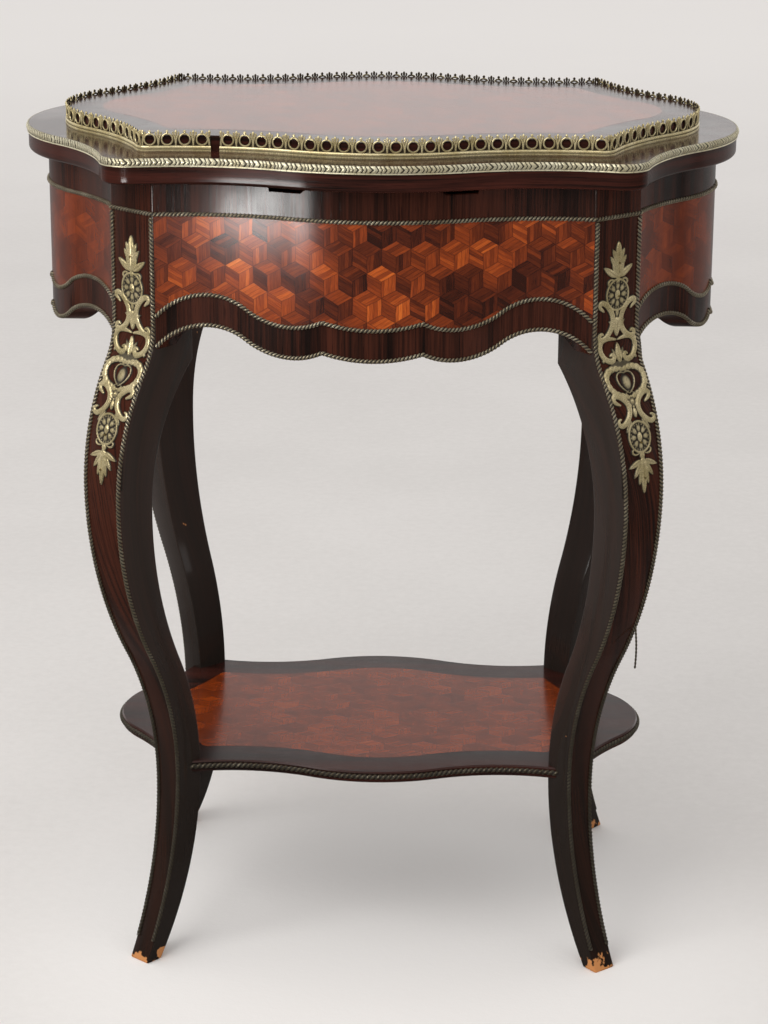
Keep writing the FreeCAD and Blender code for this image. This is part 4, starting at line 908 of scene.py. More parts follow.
def build_leg(corner):
    """One leg: rounded sections from the floor to the case top, in the leg's own axes."""
    bends = [ANKLE, INNER_KNEE, KNEE, INNER_SHOULDER, SHOULDER]
    height = np.unique(np.concatenate([[0.0, 0.8], np.linspace(2, SHOULDER, 118), bends,
                                       [600, 640, 670, CASE_TOP - 0.8, CASE_TOP]]))
    trim = np.where((height < 0.5) | (height > CASE_TOP - 0.5), 0.8, 0.0)
    outer, inner = leg_outer(height) - trim, leg_inner(height) + trim
    half = leg_half_width(height) - trim
    edge, turn = 1.3, np.radians(np.linspace(0, 90, 4))
    out, aside = [], []
    for start, (ahead, way) in zip((0, 90, 180, 270), ((1, 1), (-1, 1), (-1, -1), (1, -1))):
        angle = np.radians(start) + turn
        out.append((outer - edge if ahead > 0 else inner + edge)[:, None] + edge * np.cos(angle))
        aside.append((way * (half - edge))[:, None] + edge * np.sin(angle))
    points = leg_place(corner, np.concatenate(out, axis=1), np.concatenate(aside, axis=1),
                       height[:, None])
    gaps = np.linalg.norm(np.diff(np.concatenate([points, points[:, :1]], axis=1), axis=1), axis=-1)
    around = np.concatenate([np.zeros((len(height), 1)), np.cumsum(gaps, axis=1)], axis=1)
    # each leg takes its grain from another part of the veneer
    shift = 0.35 * list(CORNERS).index(corner)
    places = np.stack([around * MM + shift, np.broadcast_to(height[:, None] * MM, around.shape)], -1)
    # level 1 marks the outer face; the sides get level 0 and, with it, the painted shade of the leg material
    outer_face = np.isin(np.arange(points.shape[1]), (0, 1, 14, 15)).astype(float)
    skin = Skin()
    skin.sheet(points, places, round_columns=True, level=np.broadcast_to(outer_face, points.shape[:2]))
    for row, turned in ((0, True), (-1, False)):
        skin.fan(points[row], points[row].mean(axis=0), places[row, :-1], places[row, 0], turned=turned)
    skin.piece("leg_looks_" + corner, "case", "leg", "leg_" + corner)


def edging(skin, path, outward, settings, radius=None, way=1):
    """Twisted edging along an open line, its strands turning one way or the other."""
    path, outward, _ = spaced(path, outward, settings.rope_step / MM)
    rope_sheet(skin, path, outward, radius or settings.rope_radius / MM, way * settings.rope_lay / MM)


def build_leg_beading(corner, settings):
    """Twisted edging down both edges of a leg's outer face, from the waist to just over the foot.

    On the front right leg a short strand has come loose and hangs from its nail.
    """
    skin = Skin()
    height = np.arange(668.5, 18.2, -0.4)
    out, half = leg_outer(height), leg_half_width(height)
    slope = np.gradient(out, height)
    lean = np.stack([np.ones_like(slope), -slope], -1)
    lean /= np.linalg.norm(lean, axis=1, keepdims=True)
    for way in (-1, 1):
        path, tip = (leg_place(corner, out + lift * lean[:, 0], way * (half - BEAD_HALF + 0.1),
                               height + lift * lean[:, 1]) for lift in (BEAD_LIFT, BEAD_LIFT + 1))
        edging(skin, path, tip - path, settings, way=way)
    if corner == "front_right":
        nail, fall = np.array([LOOSE_FROM]), np.linspace(0, 1, 60)
        start = leg_place(corner, leg_outer(nail), leg_half_width(nail) - BEAD_HALF, nail)
        loose = start + np.column_stack([1.4 * np.sin(2.6 * fall), -0.8 * fall, -LOOSE_LENGTH * fall])
        edging(skin, loose, np.tile([0.0, -1.0, 0.0], (len(fall), 1)), settings, radius=1.0)
    skin.piece("leg_beading_looks_" + corner, "case", "bronze", "leg_beading_" + corner, crease=60)


def build_apron(side):
    """One case wall: bowed in plan, waved below, with two finger notches in the front one's top edge."""
    span = wall_span(side, CASE_INSET)
    _, cusp, lobe, share, arch, *_, stile, _ = WAVES[kind_of(side)]
    marks = np.array([cusp, lobe, arch, lobe + (arch - lobe) * share]) * stile
    marks = np.concatenate([marks, NOTCH if side == "front" else []])
    marks = marks[marks < span]
    across = np.unique(np.round(np.concatenate([np.arange(-span - 0.5, span + 0.5, 1.4), [span + 0.5],
                                                marks, -marks]), 4))
    bottom = wave_height(side, across, EDGE_DROP)
    top = np.full_like(across, CASE_TOP)
    if side == "front":
        top -= np.interp(np.abs(across), NOTCH, [0.0, NOTCH_DEPTH, NOTCH_DEPTH, 0.0])
    face, back = CASE_INSET, CASE_INSET + WALL
    steps = [(face + 0.6, bottom), (face, bottom + 0.6)]
    steps += [(face, bottom + 0.6 + (top - bottom - 1.4) * part) for part in (0.2, 0.4, 0.6, 0.8, 1.0)]
    steps += [(face + 0.8, top), (back - 0.6, top), (back, top - 0.6), (back, bottom + 0.6),
              (back - 0.6, bottom)]
    skin = Skin()
    wall_sheet(skin, side, across, steps)
    skin.piece("apron_looks_" + side, "case", "wall", "apron_" + side)


def build_cube_panel(side):
    """Parquetry of one wall, between the waist bead and the waved bead, a hair proud of the wall."""
    span = wall_span(side, CASE_INSET)
    across = np.linspace(-span - 0.4, span + 0.4, int(span / 0.75))
    low = wave_height(side, across)
    steps = [(CASE_INSET - 0.06, low + (WAIST - low) * part) for part in np.linspace(0, 1, 7)]
    steps += [(CASE_INSET + 1.0, np.full_like(across, WAIST)), (CASE_INSET + 1.0, low)]
    skin = Skin()
    wall_sheet(skin, side, across, steps)
    finish = "cubes" if kind_of(side) == "long" else "end_cubes"
    skin.piece("cube_panel_looks_" + side, "case", finish, "cube_panel_" + side)


def build_apron_beading(side, settings):
    """Twisted edging along a wall's waved line and along its lower edge."""
    span = wall_span(side, CASE_INSET)
    across = np.linspace(-span, span, int(span * 4))
    plan, outward = wall_points(side, across, CASE_INSET - BEAD_LIFT)
    skin = Skin()
    for drop in (0.0, EDGE_DROP - BEAD_HALF):
        edging(skin, np.column_stack([plan, wave_height(side, across, drop)]),
               np.column_stack([outward, 0 * across]), settings)
    skin.piece("apron_beading_looks_" + side, "case", "bronze", "apron_beading_" + side, crease=60)


def ring_edging(skin, points, normals, off, height, settings, radius, lay):
    """Twisted edging once round a closed plan outline, set off from it, at one height."""
    plan, normal, _ = spaced(points, normals, settings.rope_step / MM, closed=True)
    path = np.column_stack([plan + off * normal, np.full(len(plan), height)])
    rope_sheet(skin, path, np.column_stack([normal, np.zeros(len(plan))]), radius, lay, closed=True)


def build_waist_beading(settings):
    """Twisted edging once round the case, over the walls and across the legs' faces."""
    points, normals = [], []
    turns = {"front": "front_right", "right": "rear_right", "rear": "rear_left", "left": "front_left"}
    for side, corner in turns.items():
        span = wall_span(side, CASE_INSET)
        plan, normal = wall_points(side, np.linspace(-span, span, 400), CASE_INSET)
        flip = np.array(CORNERS[corner], float)
        aside = np.linspace(-24.6, 24.6, 20)
        left = np.array([-LEG_OUT[1] * flip[1], LEG_OUT[0] * flip[0]])
        if np.dot(left, plan[-1] - LEG_FACE * flip) > 0:
            aside = -aside
        points += [plan, leg_place(corner, 0 * aside, aside, 0 * aside)[:, :2]]
        normals += [normal, np.broadcast_to(LEG_OUT * flip, (len(aside), 2))]
    skin = Skin()
    ring_edging(skin, np.concatenate(points), np.concatenate(normals), BEAD_LIFT, WAIST, settings,
                settings.rope_radius / MM, settings.rope_lay / MM)
    skin.piece("waist_beading_looks", "case", "bronze", "waist_beading", crease=60)


# ---- Leg mounts ----

MOUNT_TOP, MOUNT_LENGTH = 651.0, 206.0
# how deep the mounts' plate lies in the leg between their forms, and the most that a form may stand out
SUNK, PROUD = -0.7, 2.95


def smooth_line(points):
    """Corners of a line cut away three times over, with its ends kept."""
    points = np.array(points, float)
    for _ in range(3):
        near, far = points[:-1] * 0.75 + points[1:] * 0.25, points[:-1] * 0.25 + points[1:] * 0.75
        inner = np.stack([near, far], 1).reshape(-1, points.shape[1])
        points = np.concatenate([points[:1], inner, points[-1:]])
    return points


class Relief:
    """Height of a cast mount over its leg's face, as the highest of its raised forms."""

    def __init__(self, aside, down):
        self.aside, self.down = aside, down
        self.height = np.full(np.broadcast(aside, down).shape, SUNK)

    def raise_to(self, height):
        """Add a form that is SUNK where it isn't."""
        self.height = np.maximum(self.height, height)

    def dome(self, aside, down, wide, tall, high, floor=0.0):
        """Half an oval ball: h sqrt(1 - (a/w)^2 - (d/t)^2)."""
        part = 1 - ((self.aside - aside) / wide) ** 2 - ((self.down - down) / tall) ** 2
        self.raise_to(np.where(part > 0, floor + high * np.sqrt(np.maximum(part, 0)), SUNK))

    def ring(self, down, wide, tall, width, high, beads=0):
        """Oval ring round the mount's middle line, beaded where beads are asked for."""
        across, along = self.aside / wide, (self.down - down) / tall
        off = (np.hypot(across, along) - 1) * min(wide, tall) / width
        angle = np.arctan2(along, across)
        bead = 0.72 + 0.28 * np.cos(beads * angle) if beads else 1.0
        self.raise_to(np.where(np.abs(off) < 1, high * bead * np.sqrt(np.maximum(1 - off ** 2, 0)), SUNK))

    def leaf(self, start, tip, width, high):
        """Leaf from its stalk to its tip: half width w sin(pi s^0.75)^0.8, with a sunk middle vein."""
        start, tip = np.array(start, float), np.array(tip, float)
        axis = tip - start
        length = math.hypot(*axis)
        axis /= length
        run = ((self.aside - start[0]) * axis[0] + (self.down - start[1]) * axis[1]) / length
        off = (self.aside - start[0]) * axis[1] - (self.down - start[1]) * axis[0]
        part = np.clip(run, 0, 1)
        half = width * np.sin(np.pi * np.clip(part, 0.02, 0.985) ** 0.75) ** 0.8 + 0.05
        inside = (np.abs(off) < half) & (run >= 0) & (run <= 1)
        round_part = np.sqrt(np.maximum(1 - (off / half) ** 2, 0))
        groove = 1 - 0.35 * np.exp(-(off / 0.55) ** 2)
        self.raise_to(np.where(inside, high * (0.45 + 0.55 * round_part) * groove, SUNK))

    def scroll(self, points, width, high, taper=0.75, gadroon=0):
        """Rounded rib along a smooth line, narrower at both ends, with notches across for gadroons."""
        line = smooth_line(points)
        run = np.linspace(0, 1, len(line))
        best = np.full(self.height.shape, SUNK)
        for place, (aside, down) in zip(run, line):
            reach = width * (1 - taper * abs(2 * place - 1) ** 3)
            off = np.hypot(self.aside - aside, self.down - down) / max(reach, 0.45)
            high_here = high * (1 - 0.25 * abs(2 * place - 1))
            if gadroon:
                high_here *= 0.8 + 0.2 * math.cos(2 * math.pi * gadroon * place)
            groove = 0.3 * np.exp(-(off / 0.22) ** 2) if reach > 1.8 else 0.0
            rib = np.sqrt(np.maximum(1 - off ** 2, 0)) * (1 - groove)
            best = np.maximum(best, np.where(off < 1, high_here * rib, SUNK))
        self.raise_to(best)


def rosette(relief, down, wide, tall, boss):
    """Oval beaded rosette: a rim, a ring of beads, eight petals and a boss."""
    across, along = relief.aside / wide, (relief.down - down) / tall
    far, angle = np.hypot(across, along), np.arctan2(along, across)
    plate = np.where(far < 0.96, 0.55 + 0.35 * far, SUNK)
    petal = np.where((far > 0.3) & (far < 0.78),
                     0.8 + 1.1 * np.abs(np.cos(4 * angle)) * np.sin(np.pi * (far - 0.25) / 0.56), SUNK)
    relief.raise_to(np.maximum(plate, petal))
    relief.ring(down, wide * 0.95, tall * 0.95, 1.25, 1.9)
    relief.ring(down, wide * 0.78, tall * 0.8, 0.95, 1.7, beads=22)
    relief.dome(0, down, boss[0], boss[1], 2.7)


def mount_relief(aside, down):
    """Palmette, rosette, scrolls, cartouche, cabochon opening, scrolls, rosette and pendant leaf.

    Both halves of a mount are alike, so each form is given for the half where aside is positive.
    """
    cast = Relief(np.abs(aside), down)
    cast.leaf((0, 13), (0, 0.4), 2.9, 2.7)
    cast.leaf((0, 28), (0, 8), 2.6, 2.8)
    cast.leaf((1.0, 17), (6.2, 6.4), 2.3, 2.4)
    cast.leaf((1.5, 22), (8.6, 12.2), 2.3, 2.4)
    cast.leaf((1.0, 28), (6.2, 19.0), 2.0, 2.4)
    cast.leaf((2.0, 30.0), (15.8, 20.6), 2.9, 2.4)
    cast.dome(0, 28.5, 3.2, 4.5, 2.5)
    cast.dome(0, 32.5, 2.2, 2.6, 2.6)
    cast.scroll([(2.5, 33), (6, 31.6), (9.5, 32.2), (10.6, 35), (8.8, 36.6), (7.2, 35)], 1.3, 2.0)
    rosette(cast, 44.8, 12.4, 13.4, (3.2, 4.8))
    cast.scroll([(14.6, 57.5), (16.8, 55.2), (19.4, 53.4), (18.8, 50), (14.5, 50.2), (9.0, 54.5),
                 (5.2, 60.5), (4.0, 66), (5.4, 72.5), (9.4, 78), (14.6, 81.2), (18.9, 80.8), (19.3, 77.2),
                 (16.4, 75.8), (14.8, 77)], 3.0, 2.7)
    cast.dome(0, 59.5, 2.2, 4.4, 2.0)
    cast.dome(0, 66, 3.0, 3.0, 2.7)
    cast.leaf((0, 66), (0, 80), 3.6, 2.5)
    cast.leaf((1.5, 70), (9.5, 66), 1.7, 2.0)
    cast.scroll([(1.0, 82.4), (6.0, 81.2), (12.5, 80.8), (17.8, 82.8), (19.6, 88), (18.0, 94), (13.2, 98.6),
                 (7.6, 99.6), (5.0, 96.4), (7.2, 93.8), (9.4, 95.2)], 2.8, 2.7)
    cast.leaf((0, 101), (0, 84.6), 3.2, 2.4)
    cast.leaf((0.8, 100), (6.6, 88.5), 1.5, 1.9)
    cast.dome(20.4, 83.2, 1.5, 2.0, 1.9)
    cast.dome(17.6, 98.2, 1.7, 2.0, 1.9)
    bar = (cast.aside < 9.5 + 1.5 * np.cos((down - 103) * 0.6)) & (np.abs(down - 103.2) < 3.6)
    cast.raise_to(np.where(bar, 1.2, SUNK))
    cast.scroll([(0.5, 106.4), (6.5, 105.2), (13, 105.4), (18.6, 108.2), (20.8, 113.4), (18.8, 119.6),
                 (13.5, 124.2), (7.6, 125.8), (2.4, 127.2)], 3.3, 2.7, taper=0.45, gadroon=12)
    cast.scroll([(0.0, 109.2), (4.6, 108.2), (8.6, 110.4), (9.4, 114.8), (6.6, 119.8), (2.4, 123.2),
                 (0.0, 124.6)], 0.9, 1.9, taper=0.0)
    cast.dome(0, 116.4, 5.4, 6.6, 1.5, floor=0.2)
    cast.scroll([(0.0, 122.4), (4.5, 124.6), (9.0, 127.8)], 0.8, 1.6, taper=0.2)
    cast.dome(0, 131, 5.0, 5.0, 1.5)
    cast.ring(131, 4.0, 4.0, 1.0, 2.3, beads=8)
    cast.dome(0, 131, 1.7, 1.7, 2.7)
    cast.scroll([(13.4, 132.4), (16.2, 131.0), (19.2, 129.2), (19.4, 125.4), (14.6, 124.8), (9.4, 127.6),
                 (5.6, 131.6), (4.6, 136), (6.0, 141), (10.4, 145.6), (15.4, 148.4), (19.4, 147.4),
                 (19.2, 143.6), (16.2, 142.8)], 2.9, 2.7)
    cast.dome(0, 139.5, 2.4, 4.6, 2.4)
    cast.leaf((6.0, 145), (13.2, 154.4), 2.0, 2.0)
    rosette(cast, 158.8, 12.0, 12.8, (2.9, 4.4))
    cast.scroll([(2.5, 171.6), (6.4, 172.6), (9.6, 171.6), (10.2, 168.8), (8.0, 168)], 1.2, 2.0)
    cast.dome(0, 173.4, 3.2, 3.6, 2.4)
    cast.leaf((1.4, 177.5), (16.0, 183.0), 2.4, 2.2)
    cast.leaf((1.4, 179.0), (10.5, 191.5), 2.5, 2.2)
    cast.leaf((0.8, 180.0), (5.2, 198.0), 2.3, 2.4)
    cast.leaf((0, 174), (0, 205.4), 3.5, 2.7)
    cast.dome(0, 180.5, 1.7, 1.9, 2.85)
    return np.minimum(cast.height, PROUD)


def build_mount(corner):
    """Cast mount of one leg, its relief laid over the leg's curved outer face.

    A point stands at (x(z), a, z) + h n, where x(z) is the face's profile, n its normal and h the relief.
    The relief sinks into the face all round its forms, and a back inside the leg closes it.
    """
    down = np.linspace(-0.6, MOUNT_LENGTH, 346)[:, None]
    aside = np.linspace(-22.4, 22.4, 75)[None, :]
    relief = mount_relief(aside, down)
    relief[[0, -1]] = relief[:, [0, -1]] = SUNK
    height = np.broadcast_to(MOUNT_TOP - down, relief.shape)
    out = leg_outer(height)
    slope = leg_outer(height + 0.5) - leg_outer(height - 0.5)
    size = np.sqrt(1 + slope ** 2)
    aside = np.broadcast_to(aside, relief.shape)
    points = leg_place(corner, out + relief / size, aside, height - relief * slope / size)
    back = leg_place(corner, out - 1.6, aside, height)
    places = np.stack([aside, height], -1) * MM
    # painted shade with patina: low relief gets a low level, so the recesses round the forms take the dark
    # hollow colour
    level = np.clip((relief - 0.5) / 1.9, 0, 1)
    skin = Skin()
    skin.sheet(points, places, level=level, turned=True)
    rim = [(slice(0, 1), slice(None)), (slice(-1, None), slice(None)), (slice(None), slice(0, 1)),
           (slice(None), slice(-1, None))]
    skin.sheet(back[:, [0, -1]], places[:, [0, -1]], level=0.0)
    for (rows, columns), turned in zip(rim, (False, True, True, False)):
        front = points[rows, columns].reshape(-1, 3)
        behind = back[rows, columns].reshape(-1, 3)
        spots = places[rows, columns].reshape(-1, 2)
        skin.sheet(np.stack([front, behind]), np.stack([spots, spots]), level=0.0, turned=turned)
    skin.piece("mount_looks_" + corner, "case", "cast", "leg_mount_" + corner, crease=75)


# ---- Lid, gallery and shelf ----

LID_LOW, LID_TOP, RAISED_TOP = 698.0, 720.0, 732.5
GALLERY_INSET, GALLERY_THICK = 35.0, 1.2
# on the gallery's strip: where the plates round the holes start, the holes, and the rings round them
PLATE_LOW, HOLE_HEIGHT, HOLE_RADIUS, RING_RADIUS = 3.4, 9.3, 3.7, 5.15
# where the front strip is broken through, and half of the gap
BREAK_AT, BREAK_HALF = -129.5, 3.6


def build_board(name, body, outline, profile, grain="x", finish="board"):
    """A board or a panel that stands for the CAD node of its name."""
    skin = Skin()
    board_sheet(skin, outline, profile, grain)
    skin.piece(name + "_looks", body, finish, name)


def build_lid():
    """Lid board, the raised board on it, and the parquetry let into that."""
    turn = np.radians(np.linspace(0, 90, 6))
    low, top, inset = LID_LOW + 0.05, RAISED_TOP, GALLERY_INSET + GALLERY_THICK
    board = [(12.0, low)] + [(2 + 3 * (1 - math.sin(a)), low + 3 * (1 - math.cos(a))) for a in turn]
    board += [(2.0, 706.0), (2.0, 713.0), (2.0, LID_TOP - 0.4), (2.4, LID_TOP), (20.0, LID_TOP),
              (40.0, LID_TOP)]
    raised = [(inset + 6, LID_TOP - 0.3), (inset, LID_TOP - 0.3), (inset, 726.0), (inset, top - 0.5),
              (inset + 0.5, top), (inset + 15, top), (inset + 30, top), (inset + 30, top - 1.2),
              (inset + 34, top - 1.2)]
    panel = [(inset + 32, top - 1.0), (inset + 29.9, top - 1.0), (inset + 29.9, top + 0.03),
             (inset + 32, top + 0.03)]
    build_board("lid_board", "lid", TOP, board)
    build_board("lid_raised_board", "lid", TOP, raised)
    build_board("lid_cube_panel", "lid", TOP, panel, "y", "flat_cubes")


def build_rim(settings):
    """Gilt edging round the lid: a plain fillet below a row of leaning gadroons.

    The bulge is 2 sin(pi v)^0.55 (1 - 0.42 g), where v is the part of the row's height and the groove g is
    the larger of |sin(pi (s / pitch + b))|^4 and 0.55 |cos(pi (2 s / pitch - b))|^6 at a distance s along
    it. The bend b leans the gadroons, and makes them uneven.
    """
    points, normals = TOP.loop(2.0, (120, 110, 40, 120, 120))
    plan, normal, run = spaced(points, normals, 0.62, closed=True)
    total = run[-1] + run[1]
    pitch = total / round(total * MM / settings.gadroon_pitch)
    part = np.linspace(0, 1, 9)[:, None]
    bend = 0.55 * np.abs(2 * part - 0.9) + 0.22 * np.sin(run[None] / 5.3) + 0.15 * np.sin(run[None] / 1.9)
    groove = np.abs(np.sin(np.pi * (run[None] / pitch + bend))) ** 4
    groove = np.maximum(groove, 0.55 * np.abs(np.cos(np.pi * (2 * run[None] / pitch - bend))) ** 6)
    bulge = 2.0 * np.sin(np.pi * np.clip(part, 0.03, 0.97)) ** 0.55 * (1 - 0.42 * groove)
    # how far each row stands out, its height and its level; low levels, in the grooves and the sunk row over
    # the fillet, take the dark hollow colour, painted shade with patina
    rows = [(-0.6, 713.0, 0.3), (1.1, 713.05, 0.7), (1.1, 714.0, 0.7), (0.5, 714.3, 0.1)]
    rows += [(bulge[k], 714.4 + 5.5 * part[k, 0], 1 - groove[k] * 0.9) for k in range(len(part))]
    rows += [(0.1, 719.98, 0.5), (-0.6, 719.9, 0.5)]
    sheet, levels, places = [], [], []
    for index, (out, height, level) in enumerate(rows):
        out = np.broadcast_to(out, run.shape)
        sheet.append(np.column_stack([plan + out[:, None] * normal, np.full(len(run), height)]))
        levels.append(np.broadcast_to(level, run.shape))
        places.append(np.column_stack([np.append(run, total), np.full(len(run) + 1, index * 0.8)]) * MM)
    skin = Skin()
    skin.sheet(np.stack(sheet), np.stack(places), round_rows=True, round_columns=True,
               level=np.stack(levels))
    skin.piece("lid_rim_looks", "lid", "rim", "lid_rim_beading", crease=70)


def gallery_cell(pitch):
    """One opening of the gallery: rays from the hole's centre out over the ring to the cell's edge.

    Gives, in (along, up) millimetres, the rays' ends, the rays themselves and the hole's centre. Above the
    rings only the ring itself stands, so the forks, buds and finials show gaps between them.
    """
    half, fall = pitch / 2, HOLE_HEIGHT - PLATE_LOW
    side = math.degrees(math.atan2(2.9, half))
    low = math.degrees(math.atan2(fall, half))
    rays = [(a, half / math.cos(math.radians(a))) for a in (0, 11, side, -14, -27, -low)]
    rays += [(side + 5, 5.9)] + [(a, RING_RADIUS) for a in (34, 45, 56, 67, 78, 90)]
    rays += [(a, fall / -math.sin(math.radians(a))) for a in (-52, -65, -78, -90)]
    rays = sorted(rays)
    rays += sorted((180 - a, reach) for a, reach in rays if -90 < a < 90)
    angle = np.radians([a for a, _ in rays])
    ray = np.stack([np.cos(angle), np.sin(angle)], -1)
    middle = np.array([0.0, HOLE_HEIGHT])
    return middle + np.array([[reach] for _, reach in rays]) * ray, ray, middle


# widths from the hole at which a ring's section is given
RING_STEPS = np.array([0.0, 0.45, 0.95, 1.45, 1.62])
# section of the moulded foot: out from the strip's face, up from the lid, and level; low levels in its
# hollows and on its back take the dark hollow colour, painted shade with patina
FOOT = np.array([
    (-1.15, 0.0, 0.3), (1.2, 0.0, 0.9), (1.2, 0.9, 1.0), (0.75, 1.15, 0.35), (0.75, 1.9, 0.5),
    (1.1, 2.2, 1.0), (1.1, 3.0, 1.0), (0.6, 3.5, 0.8), (0.4, 4.2, 0.5), (-1.15, 4.2, 0.3)])
# lines and half widths, in (along, up) from the lid, of the forms that stand on the gallery's strip
PRONG = ([(0.0, 4.4), (0.1, 7.0), (0.45, 9.6), (1.1, 11.6), (1.9, 13.2), (2.4, 14.4), (2.1, 15.3),
          (1.45, 15.0)], [0.6, 0.8, 0.75, 0.75, 0.8, 0.9, 0.75, 0.35])
BUD = ([(0.0, 11.4), (0.0, 13.2), (0.0, 14.9), (0.0, 16.2), (0.0, 17.1)], [0.4, 0.85, 1.3, 1.0, 0.15])
FINIAL = ([(0.0, 13.6), (0.0, 14.6), (0.0, 15.5), (0.0, 16.3), (0.0, 17.0)], [1.15, 0.85, 1.4, 1.1, 0.15])


def rib_sheet(skin, form, bent, at, handed, flip=1):
    """Rounded rib on the gallery: p = line + w cos(t) n along the strip, and 0.85 w sin(t) out of it."""
    line, widths = (np.array(values) for values in form)
    tangent = np.gradient(line, axis=0)
    tangent /= np.linalg.norm(tangent, axis=1, keepdims=True)
    turn = np.radians(np.arange(6) * 60.0 + 30)[:, None]
    aside = widths * np.cos(turn)
    along, up = line[:, 0] - aside * tangent[:, 1], line[:, 1] + aside * tangent[:, 0]
    out = 0.15 - handed * flip * 0.85 * widths * np.sin(turn)
    points = bent(at + flip * along, up, out)
    places = np.stack([along, up], -1) * MM
    # painted shade: the half of a rib behind the strip's face gets level 0 and the dark hollow colour
    level = np.where(out < -0.1, 0.0, 0.5 + 0.5 * np.clip(out / 0.5, 0, 1))
    skin.sheet(points, places, round_rows=True, level=level)
    skin.ends(points, places, places[0], 0.5)


def cell_sheets(skin, bent, start, pitch, cells, handed):
    """The openings of one strip: ring and plate in front, flat back, hole, edges, and a finial on top."""
    edge, ray, middle = gallery_cell(pitch)
    far = np.linalg.norm(edge - middle, axis=1)[None]
    width = RING_STEPS[-1]
    reach = HOLE_RADIUS + RING_STEPS[:, None] * np.minimum(1.0, (far - HOLE_RADIUS) / width)
    reach = np.concatenate([reach, far])
    spots = middle + reach[..., None] * ray[None]
    high = np.interp(reach, [HOLE_RADIUS, 4.0, 4.6, 5.1, 5.3], [0.3, 1.0, 1.08, 0.75, 0.0])
    places = spots * MM
    on_side = np.abs(np.abs(edge[:, 0]) - pitch / 2) < 0.01
    index = np.flatnonzero(~(on_side & np.roll(on_side, -1)))
    after = (index + 1) % len(edge)
    faces = np.arange(len(index) * 4).reshape(-1, 4)[:, ::-1]
    for cell in range(cells):
        along, up = start + (cell + 0.5) * pitch + spots[..., 0], spots[..., 1]
        front = bent(along, up, high * 0.95 - 0.25)
        back = bent(along[[0, -1]], up[[0, -1]], 0.05 - GALLERY_THICK)
        # painted shade: the back, which faces the lid's middle, gets level 0, and the plate and the hole's
        # wall low levels, so they take the dark hollow colour; in the recesses there is patina too
        skin.sheet(front, places, round_columns=True, level=np.clip(0.05 + high, 0.05, 1.0), turned=True)
        skin.sheet(back, places[[0, -1]], round_columns=True, level=0.0)
        skin.sheet(np.stack([front[0], back[0]]), places[[0, 0]], round_columns=True, level=0.15)
        quads = np.stack([front[-1][index], front[-1][after], back[-1][after], back[-1][index]], 1)
        skin.keep(quads, faces, np.zeros((len(index), 4, 2)), 0.6)
        rib_sheet(skin, FINIAL, bent, start + (cell + 0.5) * pitch, handed)


def build_gallery(side, settings):
    """Pierced gallery of one side: rings with finials, forks and buds between them, and a moulded foot."""
    plan, normal = TOP.length_of(side, GALLERY_INSET)
    plan, normal, run = spaced(plan, normal, 0.5)
    first = plan[1] - plan[0]
    handed = math.copysign(1.0, first[1] * normal[0, 0] - first[0] * normal[0, 1])
    lengths = [(0.0, run[-1])]
    if side == "front":
        gap = np.interp(BREAK_AT, plan[:, 0], run)
        lengths = [(0.0, gap - BREAK_HALF), (gap + BREAK_HALF, run[-1])]

    def bent(along, up, out):
        """Points at distances along the strip, up from the lid and out from the strip's face."""
        along, up, out = np.broadcast_arrays(along, up, out)
        base, away = (np.stack([np.interp(np.clip(along, 0, run[-1]), run, line[:, k]) for k in (0, 1)], -1)
                      for line in (plan, normal))
        return np.concatenate([base + out[..., None] * away, LID_TOP + up[..., None]], -1)

    skin, foot_skin = Skin(), Skin()
    for start, end in lengths:
        cells = int(round((end - start) * MM / settings.gallery_pitch))
        pitch = (end - start) / cells
        cell_sheets(skin, bent, start, pitch, cells, handed)
        for mark in range(cells + 1):
            # at a strip's ends the bud and its one prong stand a little inward
            inward = 1.1 * ((mark == 0) - (mark == cells))
            at = start + mark * pitch + inward
            rib_sheet(skin, BUD, bent, at, handed)
            for flip in (1, -1):
                if not inward or flip == math.copysign(1, inward):
                    rib_sheet(skin, PRONG, bent, at, handed, flip)
        along = np.linspace(start, end, int((end - start) / 2))
        out, up, level = FOOT.T[..., None]
        rows = bent(along, up, out)
        places = np.stack(np.broadcast_arrays(along, up), -1) * MM
        foot_skin.sheet(rows, places, round_rows=True, level=np.broadcast_to(level, rows.shape[:2]))
        foot_skin.ends(rows, places, places[0], 0.6)
    skin.piece("gallery_looks_" + side, "lid", "gilt", "gallery_" + side, weld=0.02, crease=50)
    foot_skin.piece("gallery_foot_looks_" + side, "lid", "gilt")


def build_shelf(settings):
    """Shelf board with its parquetry and its twisted edging."""
    build_board("shelf_board", "case", SHELF, [
        (8, 167.0), (3.2, 167.0), (2.0, 168.2), (2.0, 171.0), (2.0, 175.8), (3.2, 177.0), (20, 177.0),
        (36, 177.0), (36, 175.9), (40, 175.9)])
    build_board("shelf_cube_panel", "case", SHELF, [
        (38, 176.0), (35.9, 176.0), (35.9, 177.03), (38, 177.03)], "y", "flat_cubes")
    skin = Skin()
    ring_edging(skin, *SHELF.loop(2.0, (90, 90, 40, 90, 90)), -0.05, 172.6, settings, 2.6, 9.0)
    skin.piece("shelf_beading_looks", "case", "bronze", "shelf_beading", crease=60)


CAD_FINISHES = {
    "plain": ("well_bottom", "bottom_battens", "partition_left", "partition_right", "shelf_dowels"),
    "stained": ("mirror_frame",), "mirror": ("mirror_glass",),
    "steel": ("mirror_screws", "hinge_screws_case", "hinge_screws_lid"),
    "hinge": ("hinge_case_leaf_left", "hinge_case_leaf_right", "hinge_lid_leaf_left",
              "hinge_lid_leaf_right", "hinge_pin_left", "hinge_pin_right"),
    "pins": ("mount_pins", "gallery_pins"),
}


def finish_fittings():
    """The CAD nodes that show as they are get their materials."""
    for finish, names in CAD_FINISHES.items():
        for name in names:
            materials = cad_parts[name].data.materials
            materials.clear()
            materials.append(material_of(finish))


# ---- Stage ----


